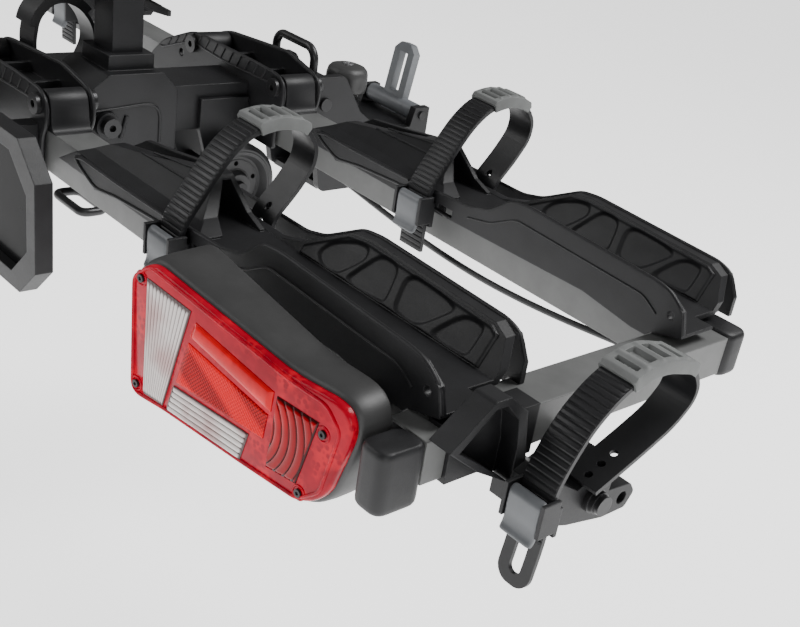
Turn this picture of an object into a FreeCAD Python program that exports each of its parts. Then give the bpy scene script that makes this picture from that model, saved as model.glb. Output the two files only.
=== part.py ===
import FreeCAD, Part
import math
import os
import Sketcher

# Folding hitch rack for two bikes.
# Axes: X to the right seen from behind the car, Y forward towards the car, Z up.
# The origin is the centre of the tow ball that the rack stands on. Lengths are in millimetres.

Vector = FreeCAD.Vector

SIZES = (
    ("ball_radius", 25.0, "tow ball"),
    ("ball_clearance", 0.3, "cup over ball"),
    ("rail_width", 30.0, "rail tube across its run"),
    ("rail_height", 33.0, "rail tube, upright"),
    ("tube_wall", 2.0, "wall of all square tubes"),
    ("rail_top", 75.0, "top face of the rails above the ball centre"),
    ("rail_pitch", 220.0, "near rail to far rail"),
    ("near_rail_rear", -385.0, "rear face of the near rail"),
    ("spine_half", 25.0, "half width of the centre beam"),
    ("spine_height", 40.0, "centre beam, upright"),
    ("spine_lift", 12.0, "centre beam top above the rail top"),
    ("stop_gap", 0.3, "rail end to centre beam"),
    ("beam_inner", 518.0, "inner face of the outer crossbeam"),
    ("beam_width", 31.0, "crossbeam across its run"),
    ("beam_height", 28.0, "crossbeam, upright"),
    ("beam_drop", 5.0, "crossbeam top below the rail top"),
    ("beam_rear_reach", 28.0, "crossbeam past the near rail"),
    ("beam_front_reach", 5.0, "crossbeam past the far rail"),
    ("hinge_reach", 66.0, "wing hinge pin from the middle"),
    ("hinge_lift", 20.0, "wing hinge pin above the rail top"),
    ("hinge_pin_radius", 5.0, "wing hinge pin"),
    ("running_fit", 0.05, "radial clearance on every pin"),
    ("knuckle_radius", 9.5, "round eye of the rail knuckle"),
    ("knuckle_inner", 26.0, "knuckle foot from the pin towards the middle"),
    ("knuckle_outer", 11.0, "knuckle foot from the pin outwards"),
    ("cheek_gap", 2.0, "rail side to the centre moulding"),
    ("cheek_wall", 4.0, "wall of the centre mouldings"),
    ("cheek_reach", 77.0, "right end of the centre mouldings from the middle"),
    ("cheek_nose", 10.5, "centre mouldings above the hinge pin"),
    ("cheek_peak", 28.0, "highest point of the mouldings from the middle"),
    ("near_tail", 114.0, "left end of the near moulding from the middle"),
    ("far_tail", 142.0, "left end of the far moulding from the middle"),
    ("near_front_lift", 37.0, "near moulding's front cheek above the rail top"),
    ("near_rear_lift", 32.0, "near moulding's rear cheek above the rail top"),
    ("far_front_lift", 38.5, "far moulding's front cheek above the rail top"),
    ("far_rear_lift", 31.5, "far moulding's rear cheek above the rail top"),
    ("cheek_drop", 36.0, "centre mouldings below the rail top"),
    ("mast_width", 30.0, "mast tube across"),
    ("mast_depth", 28.0, "mast tube along the car"),
    ("mast_rear", -301.0, "rear face of the mast"),
    ("mast_height", 660.0, "mast tube above the rail top"),
    ("mast_cap_height", 8.0, "end cap of the mast"),
    ("sleeve_wall", 7.0, "cast sleeve round the mast"),
    ("sleeve_lift", 40.0, "sleeve top above the rail top"),
    ("bracket_wall", 7.0, "mast bracket beside the centre beam"),
    ("bracket_drop", 14.0, "mast bracket below the centre beam"),
    ("bracket_rear", 8.0, "near moulding to the mast bracket"),
    ("bracket_front", 25.0, "mast bracket in front of the mast"),
    ("boss_radius", 11.0, "round boss of the mast bolt"),
    ("socket_radius", 3.0, "hexagon socket of the bolts"),
    ("bolt_radius", 5.0, "frame bolts"),
    ("tilt_from_ball", 95.0, "tilt pin behind the ball centre"),
    ("tilt_lift", 67.0, "tilt pin above the ball centre"),
    ("tilt_pin_radius", 6.0, "tilt pin"),
    ("spine_nose", 15.0, "centre beam in front of the tilt pin"),
    ("plate_gap", 11.0, "coupling side plate beside the centre beam"),
    ("plate_wall", 8.0, "coupling side plate"),
    ("housing_drop", 22.0, "coupling below the ball centre"),
    ("cup_reach", 36.0, "cup block from the ball centre"),
    ("cup_top", 36.0, "cup block above the ball centre"),
    ("cup_drop", 22.0, "cup block below the ball centre"),
    ("neck_back", 35.0, "clamp knob behind the ball centre"),
    ("neck_radius", 15.0, "neck under the clamp knob"),
    ("neck_top", 57.0, "top of the neck"),
    ("knob_gap", 5.0, "neck to clamp knob"),
    ("knob_height", 28.0, "clamp knob"),
    ("knob_core", 16.0, "round core of the clamp knob"),
    ("knob_lobe", 6.0, "lobe of the clamp knob"),
    ("knob_stem", 6.0, "screw stem of the clamp knob"),
    ("lock_radius", 5.5, "key barrel in the clamp knob"),
    ("lever_front", 33.0, "lever pin in front of the ball centre"),
    ("lever_lift", 47.0, "lever pin above the ball centre"),
    ("lever_pin_radius", 4.0, "lever pin"),
    ("lever_width", 30.0, "loop lever across"),
    ("lever_thick", 9.0, "loop lever"),
    ("lever_length", 62.0, "loop lever above its pin"),
    ("lever_slot", 12.0, "slot of the loop lever"),
    ("jaw_width", 20.0, "ball jaw across"),
    ("jaw_depth", 9.0, "ball jaw along the car"),
    ("jaw_height", 14.0, "ball jaw, upright"),
    ("bail_half", 30.0, "wire bail from the middle to its leg"),
    ("bail_wire", 4.0, "radius of the bail wire"),
    ("bail_back", 102.0, "bail behind the ball centre"),
    ("bail_pivot", 84.0, "bail pivot above the ball centre"),
    ("bail_top", 116.0, "bail top bar above the ball centre"),
    ("bail_corner", 12.0, "bend of the bail"),
    ("wheel_radius", 40.0, "transport wheel"),
    ("wheel_width", 22.0, "transport wheel across"),
    ("wheel_inner", 37.0, "transport wheel from the middle"),
    ("wheel_back", 196.0, "wheel axle behind the ball centre"),
    ("wheel_lift", 1.0, "wheel axle above the ball centre"),
    ("axle_radius", 6.0, "wheel axle"),
    ("hanger_wall", 5.0, "axle hanger plate"),
    ("pedal_back", 262.0, "pedal pivot behind the ball centre"),
    ("pedal_drop", 50.0, "pedal pivot below the rail top"),
    ("pedal_level", 23.0, "pedal loop below the ball centre"),
    ("pedal_reach", 335.0, "pedal loop behind the ball centre"),
    ("pedal_half", 28.0, "half width of the pedal loop"),
    ("pedal_depth", 30.0, "pedal loop along the car"),
    ("pedal_thick", 6.0, "pedal loop"),
    ("plate_half", 262.0, "half width of the number plate holder"),
    ("plate_back", 105.0, "number plate holder behind the near rail"),
    ("plate_low", 42.0, "number plate holder below the rail top"),
    ("plate_high", 62.0, "number plate holder above the rail top"),
    ("plate_thick", 12.0, "number plate holder"),
    ("plate_rim", 11.0, "rim round the plate panel"),
    ("plate_panel_thick", 2.0, "black plate panel"),
    ("plate_corner", 22.0, "cut corner of the plate holder"),
    ("plate_arm_half", 60.0, "plate arms from the middle"),
    ("plate_arm_width", 14.0, "plate arm"),
    ("tray_inner", 140.0, "inner tip of the trays from the middle"),
    ("tray_wall", 4.0, "wall of the trays"),
    ("tray_seat", 0.5, "tray above the rail top"),
    ("tray_rear", 15.0, "tray behind its rail"),
    ("tray_front", 70.0, "tray front wall in front of the rail's rear face"),
    ("strap_width", 25.0, "wheel straps"),
    ("strap_thick", 3.0, "wheel straps"),
    ("strap_back", 225.0, "inner straps, from their outer edge to the crossbeam"),
    ("pad_thick", 5.0, "soft pad on each strap"),
    ("buckle_wall", 2.5, "cheeks of the buckles"),
    ("buckle_pin", 1.5, "pin of the buckle lever"),
    ("outer_strap", 60.0, "outer strap from the crossbeam"),
    ("far_holder_shift", 165.0, "outer holder of the left wing, further forward"),
    ("holder_wall", 3.0, "walls of the outer holder"),
    ("lamp_inner", 333.0, "inner end of the lamp from the middle"),
    ("lamp_lens", 22.0, "depth of the lamp lens"),
    ("lamp_depth", 20.0, "depth of the lamp housing before its back is cut flat"),
    ("lamp_back_gap", 5.0, "flat lamp back behind the crossbeam's end"),
    ("lamp_rim", 4.0, "housing past the lens"),
    ("lamp_turn", 6.0, "lamp turned outwards, degrees"),
    ("lead_radius", 2.5, "lamp lead"),
    ("near_arm_level", 480.0, "near frame arm above the rail top"),
    ("far_arm_level", 560.0, "far frame arm above the rail top"),
    ("near_arm_reach", 98.0, "near arm from the mast"),
    ("far_arm_reach", 150.0, "far arm from the mast"),
    ("arm_radius", 11.0, "tube of the frame arms"),
    ("collar_wall", 7.0, "arm collar round the mast"),
    ("collar_height", 44.0, "arm collar, upright"),
    ("arm_fit", 0.3, "collar round the mast"),
    ("claw_bore", 19.0, "frame claw, inner radius"),
    ("claw_wall", 6.0, "frame claw"),
    ("claw_width", 28.0, "frame claw along the bike frame"),
)

doc = FreeCAD.newDocument("FoldingBikeRack")
sheet = doc.addObject("Spreadsheet::Sheet", "Dims")
for row, (alias, amount, note) in enumerate(SIZES, start=1):
    sheet.set(f"A{row}", note)
    sheet.set(f"B{row}", str(amount))
    sheet.setAlias(f"B{row}", alias)
doc.recompute()


class Term:
    """A length that keeps its value and the sheet formula it comes from."""

    def __init__(self, value, text):
        self.value = float(value)
        self.text = text

    def _join(self, other, sign, value):
        return Term(value, f"({self.text} {sign} {as_term(other).text})")

    def __add__(self, other):
        return self._join(other, "+", self.value + float(other))

    def __sub__(self, other):
        return self._join(other, "-", self.value - float(other))

    def __mul__(self, other):
        return self._join(other, "*", self.value * float(other))

    def __truediv__(self, other):
        return self._join(other, "/", self.value / float(other))

    def __radd__(self, other):
        return as_term(other) + self

    def __rsub__(self, other):
        return as_term(other) - self

    def __rmul__(self, other):
        return as_term(other) * self

    def __neg__(self):
        return Term(-self.value, f"(0 - {self.text})")

    def __float__(self):
        return self.value


def as_term(value):
    """Wrap a plain number."""
    if isinstance(value, Term):
        return value
    return Term(value, f"({float(value)!r})")


class Sheet:
    """All driving sizes by name."""


s = Sheet()
for alias_name, _, _ in SIZES:
    setattr(s, alias_name, Term(float(sheet.get(alias_name)), f"Dims.{alias_name}"))

ROLES = {"XY": "XY_Plane", "XZ": "XZ_Plane", "YZ": "YZ_Plane"}


def drive(item, path, amount):
    """Bind one property to its formula."""
    item.setExpression(path, as_term(amount).text)


def block(name, x0, x1, y0, y1, z0, z1):
    """Rectangular solid between two corners."""
    item = doc.addObject("Part::Box", name)
    for side, low, high in (("Length", x0, x1), ("Width", y0, y1), ("Height", z0, z1)):
        drive(item, side, as_term(high) - low)
    for axis, low in (("x", x0), ("y", y0), ("z", z0)):
        drive(item, f"Placement.Base.{axis}", low)
    return item


def rod(name, axis, start, length, a, b, radius):
    """Cylinder along one axis; a and b are its two other coordinates in order."""
    item = doc.addObject("Part::Cylinder", name)
    turns = {
        "x": FreeCAD.Rotation(Vector(0, 1, 0), 90),
        "y": FreeCAD.Rotation(Vector(1, 0, 0), -90),
        "z": FreeCAD.Rotation(),
    }
    item.Placement = FreeCAD.Placement(Vector(), turns[axis])
    drive(item, "Radius", radius)
    drive(item, "Height", length)
    spots = {"x": (start, a, b), "y": (a, start, b), "z": (a, b, start)}[axis]
    for letter, spot in zip("xyz", spots):
        drive(item, f"Placement.Base.{letter}", spot)
    return item


def edge_at(shape, plane, corner):
    """Name of the straight edge across the outline's plane at one corner."""
    keep = {"XY": (0, 1), "XZ": (0, 2), "YZ": (1, 2)}[plane]
    for number, edge in enumerate(shape.Edges, start=1):
        ends = [vertex.Point for vertex in edge.Vertexes]
        if len(ends) == 2 and all(
            abs(end[keep[0]] - corner[0]) < 0.01 and abs(end[keep[1]] - corner[1]) < 0.01 for end in ends
        ):
            return f"Edge{number}"
    raise ValueError(f"no edge at {corner}")


def prism(name, plane, outline, start, length, rounds=None):
    """Body padded from a polygon; rounds maps corner numbers to a fillet radius."""
    body = doc.addObject("PartDesign::Body", name)
    sketch = body.newObject("Sketcher::SketchObject", name + "_outline")
    origin = next(item for item in body.Origin.OriginFeatures if item.Role == ROLES[plane])
    sketch.AttachmentSupport = [(origin, "")]
    sketch.MapMode = "FlatFace"
    offset = -as_term(start) if plane == "XZ" else as_term(start)
    drive(sketch, "AttachmentOffset.Base.z", offset)
    count = len(outline)
    spots = [Vector(float(a), float(b), 0) for a, b in outline]
    for index in range(count):
        sketch.addGeometry(Part.LineSegment(spots[index], spots[(index + 1) % count]), False)
    for index in range(count):
        sketch.addConstraint(Sketcher.Constraint("Coincident", index, 2, (index + 1) % count, 1))
    for index, (a, b) in enumerate(outline):
        for kind, amount in (("DistanceX", a), ("DistanceY", b)):
            if abs(float(amount)) < 1e-9 and not isinstance(amount, Term):
                line = -2 if kind == "DistanceX" else -1
                sketch.addConstraint(Sketcher.Constraint("PointOnObject", index, 1, line))
                continue
            number = sketch.addConstraint(Sketcher.Constraint(kind, -1, 1, index, 1, float(amount)))
            if isinstance(amount, Term):
                sketch.setExpression(f"Constraints[{number}]", amount.text)
    pad = body.newObject("PartDesign::Pad", name + "_pad")
    pad.Profile = sketch
    pad.Reversed = plane == "XZ"
    drive(pad, "Length", length)
    doc.recompute()
    tip = pad
    groups = {}
    for corner, radius in (rounds or {}).items():
        groups.setdefault(as_term(radius).text, []).append((corner, radius))
    for number, corners in enumerate(groups.values()):
        edges = [edge_at(tip.Shape, plane, spots[corner]) for corner, _ in corners]
        fillet = body.newObject("PartDesign::Fillet", f"{name}_round{number}")
        fillet.Base = (tip, edges)
        drive(fillet, "Radius", corners[0][1])
        doc.recompute()
        tip = fillet
    return body


def cut(name, base, *tools):
    """Take tools from a base, one after the other."""
    for number, tool in enumerate(tools):
        item = doc.addObject("Part::Cut", name if number == len(tools) - 1 else f"{name}_less{number}")
        item.Base = base
        item.Tool = tool
        base = item
    return base


def fuse(name, *parts):
    """One solid from pieces that touch or overlap."""
    item = doc.addObject("Part::MultiFuse", name)
    item.Shapes = list(parts)
    item.Refine = True
    return item


def common(name, first, second):
    """What two solids share."""
    item = doc.addObject("Part::Common", name)
    item.Base = first
    item.Tool = second
    return item


def group(name, parts):
    """Identical separate pieces in one node."""
    item = doc.addObject("Part::Compound", name)
    item.Links = list(parts)
    return item


def mirrored(name, source):
    """The same piece on the other side of the middle plane."""
    item = doc.addObject("Part::Mirroring", name)
    item.Source = source
    item.Normal = Vector(1, 0, 0)
    item.Base = Vector(0, 0, 0)
    return item


def shaped(name, shape):
    """A piece whose shape is worked out from the sheet."""
    item = doc.addObject("Part::Feature", name)
    item.Shape = shape
    item.Placement = FreeCAD.Placement()
    return item


def around(rail, pairs):
    """Outline points given from a rail's rear face and top."""
    return [(rail + a, s.rail_top + b) for a, b in pairs]


def rounded_path(points, share=0.45):
    """Straight runs joined by tangent arcs, in the YZ plane: a list of (kind, data)."""
    spots = [Vector(0, float(a), float(b)) for a, b in points]
    pieces = []
    last = spots[0]
    for before, corner, after in zip(spots, spots[1:], spots[2:]):
        into = (corner - before)
        away = (after - corner)
        reach = share * min(into.Length, away.Length)
        into.normalize()
        away.normalize()
        turn = into.getAngle(away)
        first = corner - into * reach
        second = corner + away * reach
        side = 1.0 if into.cross(away).x > 0 else -1.0
        radius = reach / math.tan(turn / 2)
        centre = first + Vector(0, -into.z, into.y) * (side * radius)
        middle_way = ((first - centre) + (second - centre)).normalize()
        pieces.append(("line", last, first, into))
        pieces.append(("arc", first, centre + middle_way * radius, second, centre, radius, side))
        last = second
    run = spots[-1] - last
    run.normalize()
    pieces.append(("line", last, spots[-1], run))
    return pieces


def offset_edges(pieces, shift):
    """The same path moved sideways by shift (positive to the left of its run)."""
    edges = []
    ends = []
    for piece in pieces:
        if piece[0] == "line":
            _, first, last, run = piece
            side = Vector(0, -run.z, run.y) * shift
            start, stop = first + side, last + side
            edges.append(Part.LineSegment(start, stop).toShape())
        else:
            _, first, middle, last, centre, radius, turn = piece
            scale = (radius - turn * shift) / radius
            start, bend, stop = [centre + (spot - centre) * scale for spot in (first, middle, last)]
            edges.append(Part.Arc(start, bend, stop).toShape())
        ends.append((start, stop))
    return edges, ends[0][0], ends[-1][1]


def ribbon(points, thick, left, width, lift=0.0, corners=None):
    """Flat strap along a rounded path, its width along X; corners keeps only a stretch of it."""
    pieces = rounded_path(points)
    if corners:
        pieces = pieces[2 * corners[0] - 1:2 * corners[1]]
    upper, upper_start, upper_stop = offset_edges(pieces, lift + thick / 2)
    lower, lower_start, lower_stop = offset_edges(pieces, lift - thick / 2)
    closing = [
        Part.LineSegment(upper_start, lower_start).toShape(),
        Part.LineSegment(upper_stop, lower_stop).toShape(),
    ]
    wire = Part.Wire(Part.__sortEdges__(upper + lower + closing))
    face = Part.Face(wire)
    face.translate(Vector(left, 0, 0))
    return face.extrude(Vector(width, 0, 0))


far = s.rail_pitch
near_face = s.near_rail_rear
far_face = near_face + far
RAILS = (("near", near_face), ("far", far_face))
rail_bottom = s.rail_top - s.rail_height
spine_top = s.rail_top + s.spine_lift
spine_bottom = spine_top - s.spine_height
beam_top = s.rail_top - s.beam_drop
beam_bottom = beam_top - s.beam_height
beam_outer = s.beam_inner + s.beam_width
beam_rear = near_face - s.beam_rear_reach
beam_front = far_face + s.rail_width + s.beam_front_reach
rail_start = s.spine_half + s.stop_gap
hinge_z = s.rail_top + s.hinge_lift
cheek_inner = s.cheek_gap
cheek_outer = s.cheek_gap + s.cheek_wall
tilt_y = -s.tilt_from_ball
spine_rear = near_face - cheek_inner

# Centre beam: square tube from the near moulding to the tilt pin
spine = block(
    "spine_body", -s.spine_half, s.spine_half, spine_rear, tilt_y + s.spine_nose, spine_bottom, spine_top,
)
spine_hollow = block(
    "spine_hollow",
    s.tube_wall - s.spine_half,
    s.spine_half - s.tube_wall,
    spine_rear + s.tube_wall,
    tilt_y + s.spine_nose + 1,
    spine_bottom + s.tube_wall,
    spine_top - s.tube_wall,
)
tilt_hole = rod(
    "spine_tilt_hole", "x", -s.spine_half - 1, s.spine_half * 2 + 2, tilt_y, s.tilt_lift,
    s.tilt_pin_radius + s.running_fit,
)
cut("center_beam", spine, spine_hollow, tilt_hole)

# Centre mouldings: two upright cheeks each side of a rail, tied over the centre beam

def cheek_outline(lift, tail):
    """Cheek from its highest point clockwise: nose round the right hinge, lower edge, long left end."""
    nose = hinge_z + s.cheek_nose
    low = s.rail_top - s.cheek_drop
    return [
        (s.cheek_peak, s.rail_top + lift),
        (s.hinge_reach, nose),
        (s.cheek_reach - 3, hinge_z + 6),
        (s.cheek_reach, hinge_z - 1),
        (s.cheek_reach, s.rail_top + 6),
        (s.hinge_reach + 4, s.rail_top - 4),
        (s.hinge_reach + 2, low),
        (-s.hinge_reach - 4, low),
        (10 - tail * 0.8, s.rail_top - 27),
        (6 - tail, s.rail_top - 24),
        (-tail, s.rail_top - 13),
        (24 - tail, s.rail_top + 8),
        (-s.hinge_reach - 10, nose - 4),
        (-s.hinge_reach + 4, nose),
    ]


def moulding(name, face, rear_lift, front_lift, tail):
    """One centre moulding over one rail."""
    walls = []
    for side, start, lift in (
        ("rear", face - cheek_outer, rear_lift), ("front", face + s.rail_width + cheek_inner, front_lift),
    ):
        outline = cheek_outline(lift, tail)
        wall = prism(f"{name}_{side}", "XZ", outline, start, s.cheek_wall, {1: 10, 4: 5, 11: 8, 12: 10})
        walls.append(wall)
    bridge = block(
        f"{name}_bridge", -s.spine_half, s.spine_half, face - cheek_outer,
        face + s.rail_width + cheek_outer,
        spine_top, spine_top + s.cheek_wall,
    )
    ribs = []
    for index, side in enumerate((-1, 1)):
        rib_x = s.spine_half * side - s.cheek_wall / 2
        ribs.append(block(
            f"{name}_rib{index}", rib_x, rib_x + s.cheek_wall, face - cheek_inner,
            face + s.rail_width + cheek_inner,
            spine_top, s.rail_top + rear_lift * 0.72,
        ))
    body = fuse(f"{name}_shell", *walls, bridge, *ribs)
    notch = block(
        f"{name}_notch", -s.spine_half, s.spine_half, spine_rear if name.startswith("near") else face - 40,
        face + s.rail_width + 40, rail_bottom - 30, spine_top,
    )
    tools = [notch]
    for index, side in enumerate((-1, 1)):
        tools.append(rod(
            f"{name}_pin_hole{index}", "y", face - 20, s.rail_width + 40, s.hinge_reach * side, hinge_z,
            s.hinge_pin_radius + s.running_fit,
        ))
    return cut(name, body, *tools)


moulding("near_moulding", near_face, s.near_rear_lift, s.near_front_lift, s.near_tail)
far_body = moulding("far_moulding_blank", far_face, s.far_rear_lift, s.far_front_lift, s.far_tail)
far_tools = []
for index, (hole_x, hole_drop, hole_radius) in enumerate(((-102, 20, 5), (-44, 19, 10), (-86, -6, 4))):
    far_tools.append(rod(
        f"far_moulding_opening{index}", "y", far_face - 20, s.cheek_wall + 20, hole_x,
        s.rail_top - hole_drop,
        hole_radius,
    ))
cut("far_moulding", far_body, *far_tools)

# Mast bracket: saddle round the centre beam with the mast's sleeve on top
bracket_y0 = near_face + s.rail_width + cheek_outer + s.bracket_rear
mast_front = s.mast_rear + s.mast_depth
bracket_y1 = mast_front + s.bracket_front
bracket_x = s.spine_half + s.bracket_wall
bracket_low = spine_bottom - s.bracket_drop
bracket_top = spine_top + s.sleeve_wall
saddle = prism(
    "bracket_saddle", "YZ",
    [
        (bracket_y0, bracket_low + 8),
        (bracket_y0 + 8, bracket_low),
        (bracket_y1, bracket_low),
        (bracket_y1, spine_top),
        (mast_front + s.sleeve_wall + 4, bracket_top + 8),
        (s.mast_rear - s.sleeve_wall - 4, bracket_top + 8),
        (bracket_y0, spine_top - 6),
    ],
    -bracket_x, bracket_x * 2, {4: 4, 5: 4},
)
sleeve_x = s.mast_width / 2 + s.sleeve_wall
sleeve_top = s.rail_top + s.sleeve_lift
sleeve = block(
    "bracket_sleeve", -sleeve_x, sleeve_x, s.mast_rear - s.sleeve_wall, mast_front + s.sleeve_wall,
    spine_top, sleeve_top,
)
boss_y = (bracket_y0 + s.mast_rear) / 2 + 6
boss_z = (spine_bottom + spine_top) / 2 - 6
boss = rod("bracket_boss", "x", -bracket_x - 6, bracket_x * 2 + 12, boss_y, boss_z, s.boss_radius)
bracket_body = fuse("bracket_body", saddle, sleeve, boss)
beam_way = block(
    "bracket_beam_way", -s.spine_half, s.spine_half, bracket_y0 - 20, bracket_y1 + 20, spine_bottom,
    spine_top,
)
mast_way = block(
    "bracket_mast_way", -s.mast_width / 2, s.mast_width / 2, s.mast_rear, mast_front, spine_top - 1,
    sleeve_top + 1,
)
boss_way = rod(
    "bracket_boss_way", "x", -bracket_x - 20, bracket_x * 2 + 40, boss_y, boss_z,
    s.bolt_radius + s.running_fit,
)
pedal_y = -s.pedal_back
pedal_z = s.rail_top - s.pedal_drop
cut("mast_bracket", bracket_body, beam_way, mast_way, boss_way)

# Mast and its end cap
mast_top = s.rail_top + s.mast_height
mast_body = block(
    "mast_body", -s.mast_width / 2, s.mast_width / 2, s.mast_rear, mast_front, spine_top, mast_top,
)
mast_hollow = block(
    "mast_hollow", s.tube_wall - s.mast_width / 2, s.mast_width / 2 - s.tube_wall,
    s.mast_rear + s.tube_wall,
    mast_front - s.tube_wall, spine_top - 1, mast_top + 1,
)
cut("mast_tube", mast_body, mast_hollow)
cap_body = block(
    "mast_cap_body", -s.mast_width / 2, s.mast_width / 2, s.mast_rear, mast_front, mast_top,
    mast_top + s.mast_cap_height,
)
cap_plug = block(
    "mast_cap_plug", s.tube_wall - s.mast_width / 2, s.mast_width / 2 - s.tube_wall,
    s.mast_rear + s.tube_wall,
    mast_front - s.tube_wall, mast_top - 15, mast_top,
)
fuse("mast_cap", cap_body, cap_plug)

# Hinge pins of both wings, the mast bolt and the tilt pin
fasteners = []
for side_name, side in (("right", 1), ("left", -1)):
    for rail_name, face in RAILS:
        start = face - cheek_outer
        run = s.rail_width + cheek_outer * 2
        pin = rod(
            f"{side_name}_{rail_name}_pin", "y", start, run, s.hinge_reach * side, hinge_z,
            s.hinge_pin_radius,
        )
        head = rod(
            f"{side_name}_{rail_name}_head", "y", start - 4, 4, s.hinge_reach * side, hinge_z,
            s.hinge_pin_radius + 3,
        )
        nut = rod(
            f"{side_name}_{rail_name}_nut", "y", start + run, 4, s.hinge_reach * side, hinge_z,
            s.hinge_pin_radius + 3,
        )
        whole = fuse(f"{side_name}_{rail_name}_hinge", pin, head, nut)
        socket = rod(
            f"{side_name}_{rail_name}_socket", "y", start - 5, 4, s.hinge_reach * side, hinge_z,
            s.socket_radius,
        )
        fasteners.append(cut(f"{side_name}_{rail_name}_hinge_pin", whole, socket))
for side_name, side in (("right", 1), ("left", -1)):
    depth = s.bracket_wall + 6
    bolt_low = s.spine_half if side > 0 else -bracket_x - 6
    shank = rod(f"{side_name}_mast_shank", "x", bolt_low, depth, boss_y, boss_z, s.bolt_radius)
    head_low = bracket_x + 6 if side > 0 else -bracket_x - 12
    head = rod(f"{side_name}_mast_head", "x", head_low, 6, boss_y, boss_z, s.bolt_radius + 3)
    socket_low = bracket_x + 8 if side > 0 else -bracket_x - 13
    socket = rod(f"{side_name}_mast_socket", "x", socket_low, 5, boss_y, boss_z, s.socket_radius)
    fasteners.append(cut(f"{side_name}_mast_bolt", fuse(f"{side_name}_mast_whole", shank, head), socket))
group("center_fasteners", fasteners)

# Number plate holder: rim, back wall and two arms to the near moulding
plate_y1 = near_face - s.plate_back + s.plate_thick
plate_y0 = near_face - s.plate_back
plate_z0 = s.rail_top - s.plate_low
plate_z1 = s.rail_top + s.plate_high


def plate_outline(inset):
    """Rectangle with cut corners, inset from the holder's edge."""
    half = s.plate_half - inset
    low = plate_z0 + inset
    high = plate_z1 - inset
    corner = s.plate_corner
    return [
        (half, low + corner), (half, high - corner), (half - corner, high), (corner - half, high),
        (-half, high - corner), (-half, low + corner), (corner - half, low), (half - corner, low),
    ]


frame_blank = prism("plate_blank", "XZ", plate_outline(0), plate_y0, s.plate_thick)
frame_pocket = prism("plate_pocket", "XZ", plate_outline(s.plate_rim), plate_y0 - 1, s.plate_thick - 3 + 1)
frame_shell = cut("plate_shell", frame_blank, frame_pocket)
arms = []
for index, side in enumerate((-1, 1)):
    arm_x = s.plate_arm_half * side - s.plate_arm_width / 2
    arms.append(block(
        f"plate_arm{index}", arm_x, arm_x + s.plate_arm_width, plate_y1, near_face - cheek_outer,
        s.rail_top - s.plate_arm_width * 2, s.rail_top + 4,
    ))
fuse("plate_frame", frame_shell, *arms)
prism(
    "plate_panel", "XZ", plate_outline(s.plate_rim + 0.3), plate_y1 - 3 - s.plate_panel_thick,
    s.plate_panel_thick,
)

# Transport wheels on an axle under the centre beam
wheel_y = -s.wheel_back
hangers = []
for index, side in enumerate((-1, 1)):
    hang_x = s.spine_half if side > 0 else -s.spine_half - s.hanger_wall
    hangers.append(prism(
        f"hanger{index}", "YZ",
        [
            (wheel_y - 26, spine_top - 12), (wheel_y - 26, spine_bottom), (wheel_y - 9, s.wheel_lift - 9),
            (wheel_y + 9, s.wheel_lift - 9), (wheel_y + 24, spine_bottom), (wheel_y + 24, spine_top - 12),
        ],
        hang_x, s.hanger_wall, {2: 6, 3: 6},
    ))
axle_half = s.wheel_inner + s.wheel_width + 5
axle = rod("axle_rod", "x", -axle_half, axle_half * 2, wheel_y, s.wheel_lift, s.axle_radius)
fuse("wheel_axle", *hangers, axle)


def transport_wheel(name):
    """Wheel turned about X with a tread, a dished web and a hub."""
    body = doc.addObject("PartDesign::Body", name + "_turned")
    sketch = body.newObject("Sketcher::SketchObject", name + "_profile")
    origin = next(item for item in body.Origin.OriginFeatures if item.Role == "XY_Plane")
    sketch.AttachmentSupport = [(origin, "")]
    sketch.MapMode = "FlatFace"
    bore = s.axle_radius + s.running_fit
    inner, outer = s.wheel_inner, s.wheel_inner + s.wheel_width
    middle = s.wheel_inner + s.wheel_width / 2
    profile = [
        (inner, bore), (outer, bore), (outer, bore + 6), (middle + 4, bore + 8),
        (middle + 4, s.wheel_radius - 13),
        (outer, s.wheel_radius - 9), (outer, s.wheel_radius - 4), (outer - 4, s.wheel_radius),
        (inner + 4, s.wheel_radius), (inner, s.wheel_radius - 4), (inner, s.wheel_radius - 9),
        (middle - 4, s.wheel_radius - 13), (middle - 4, bore + 8), (inner, bore + 6),
    ]
    spots = [Vector(float(a), float(b), 0) for a, b in profile]
    count = len(spots)
    for index in range(count):
        sketch.addGeometry(Part.LineSegment(spots[index], spots[(index + 1) % count]), False)
    for index in range(count):
        sketch.addConstraint(Sketcher.Constraint("Coincident", index, 2, (index + 1) % count, 1))
    for index, pair in enumerate(profile):
        for kind, amount in zip(("DistanceX", "DistanceY"), pair):
            number = sketch.addConstraint(Sketcher.Constraint(kind, -1, 1, index, 1, float(amount)))
            sketch.setExpression(f"Constraints[{number}]", amount.text)
    turn = body.newObject("PartDesign::Revolution", name + "_turn")
    turn.Profile = sketch
    turn.ReferenceAxis = (sketch, ["H_Axis"])
    turn.Angle = 360
    drive(body, "Placement.Base.y", wheel_y)
    drive(body, "Placement.Base.z", s.wheel_lift)
    return body


wheel_body = transport_wheel("wheel")
wheel_holes = []
for index in range(5):
    angle = math.radians(72 * index + 90)
    reach = (s.wheel_radius - 13 + s.axle_radius + 8) / 2
    wheel_holes.append(rod(
        f"wheel_hole{index}", "x", s.wheel_inner - 1, s.wheel_width + 2, wheel_y + reach * math.cos(angle),
        s.wheel_lift + reach * math.sin(angle), 2.2,
    ))
right_wheel = cut("right_transport_wheel", wheel_body, *wheel_holes)
mirrored("left_transport_wheel", right_wheel)

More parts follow.
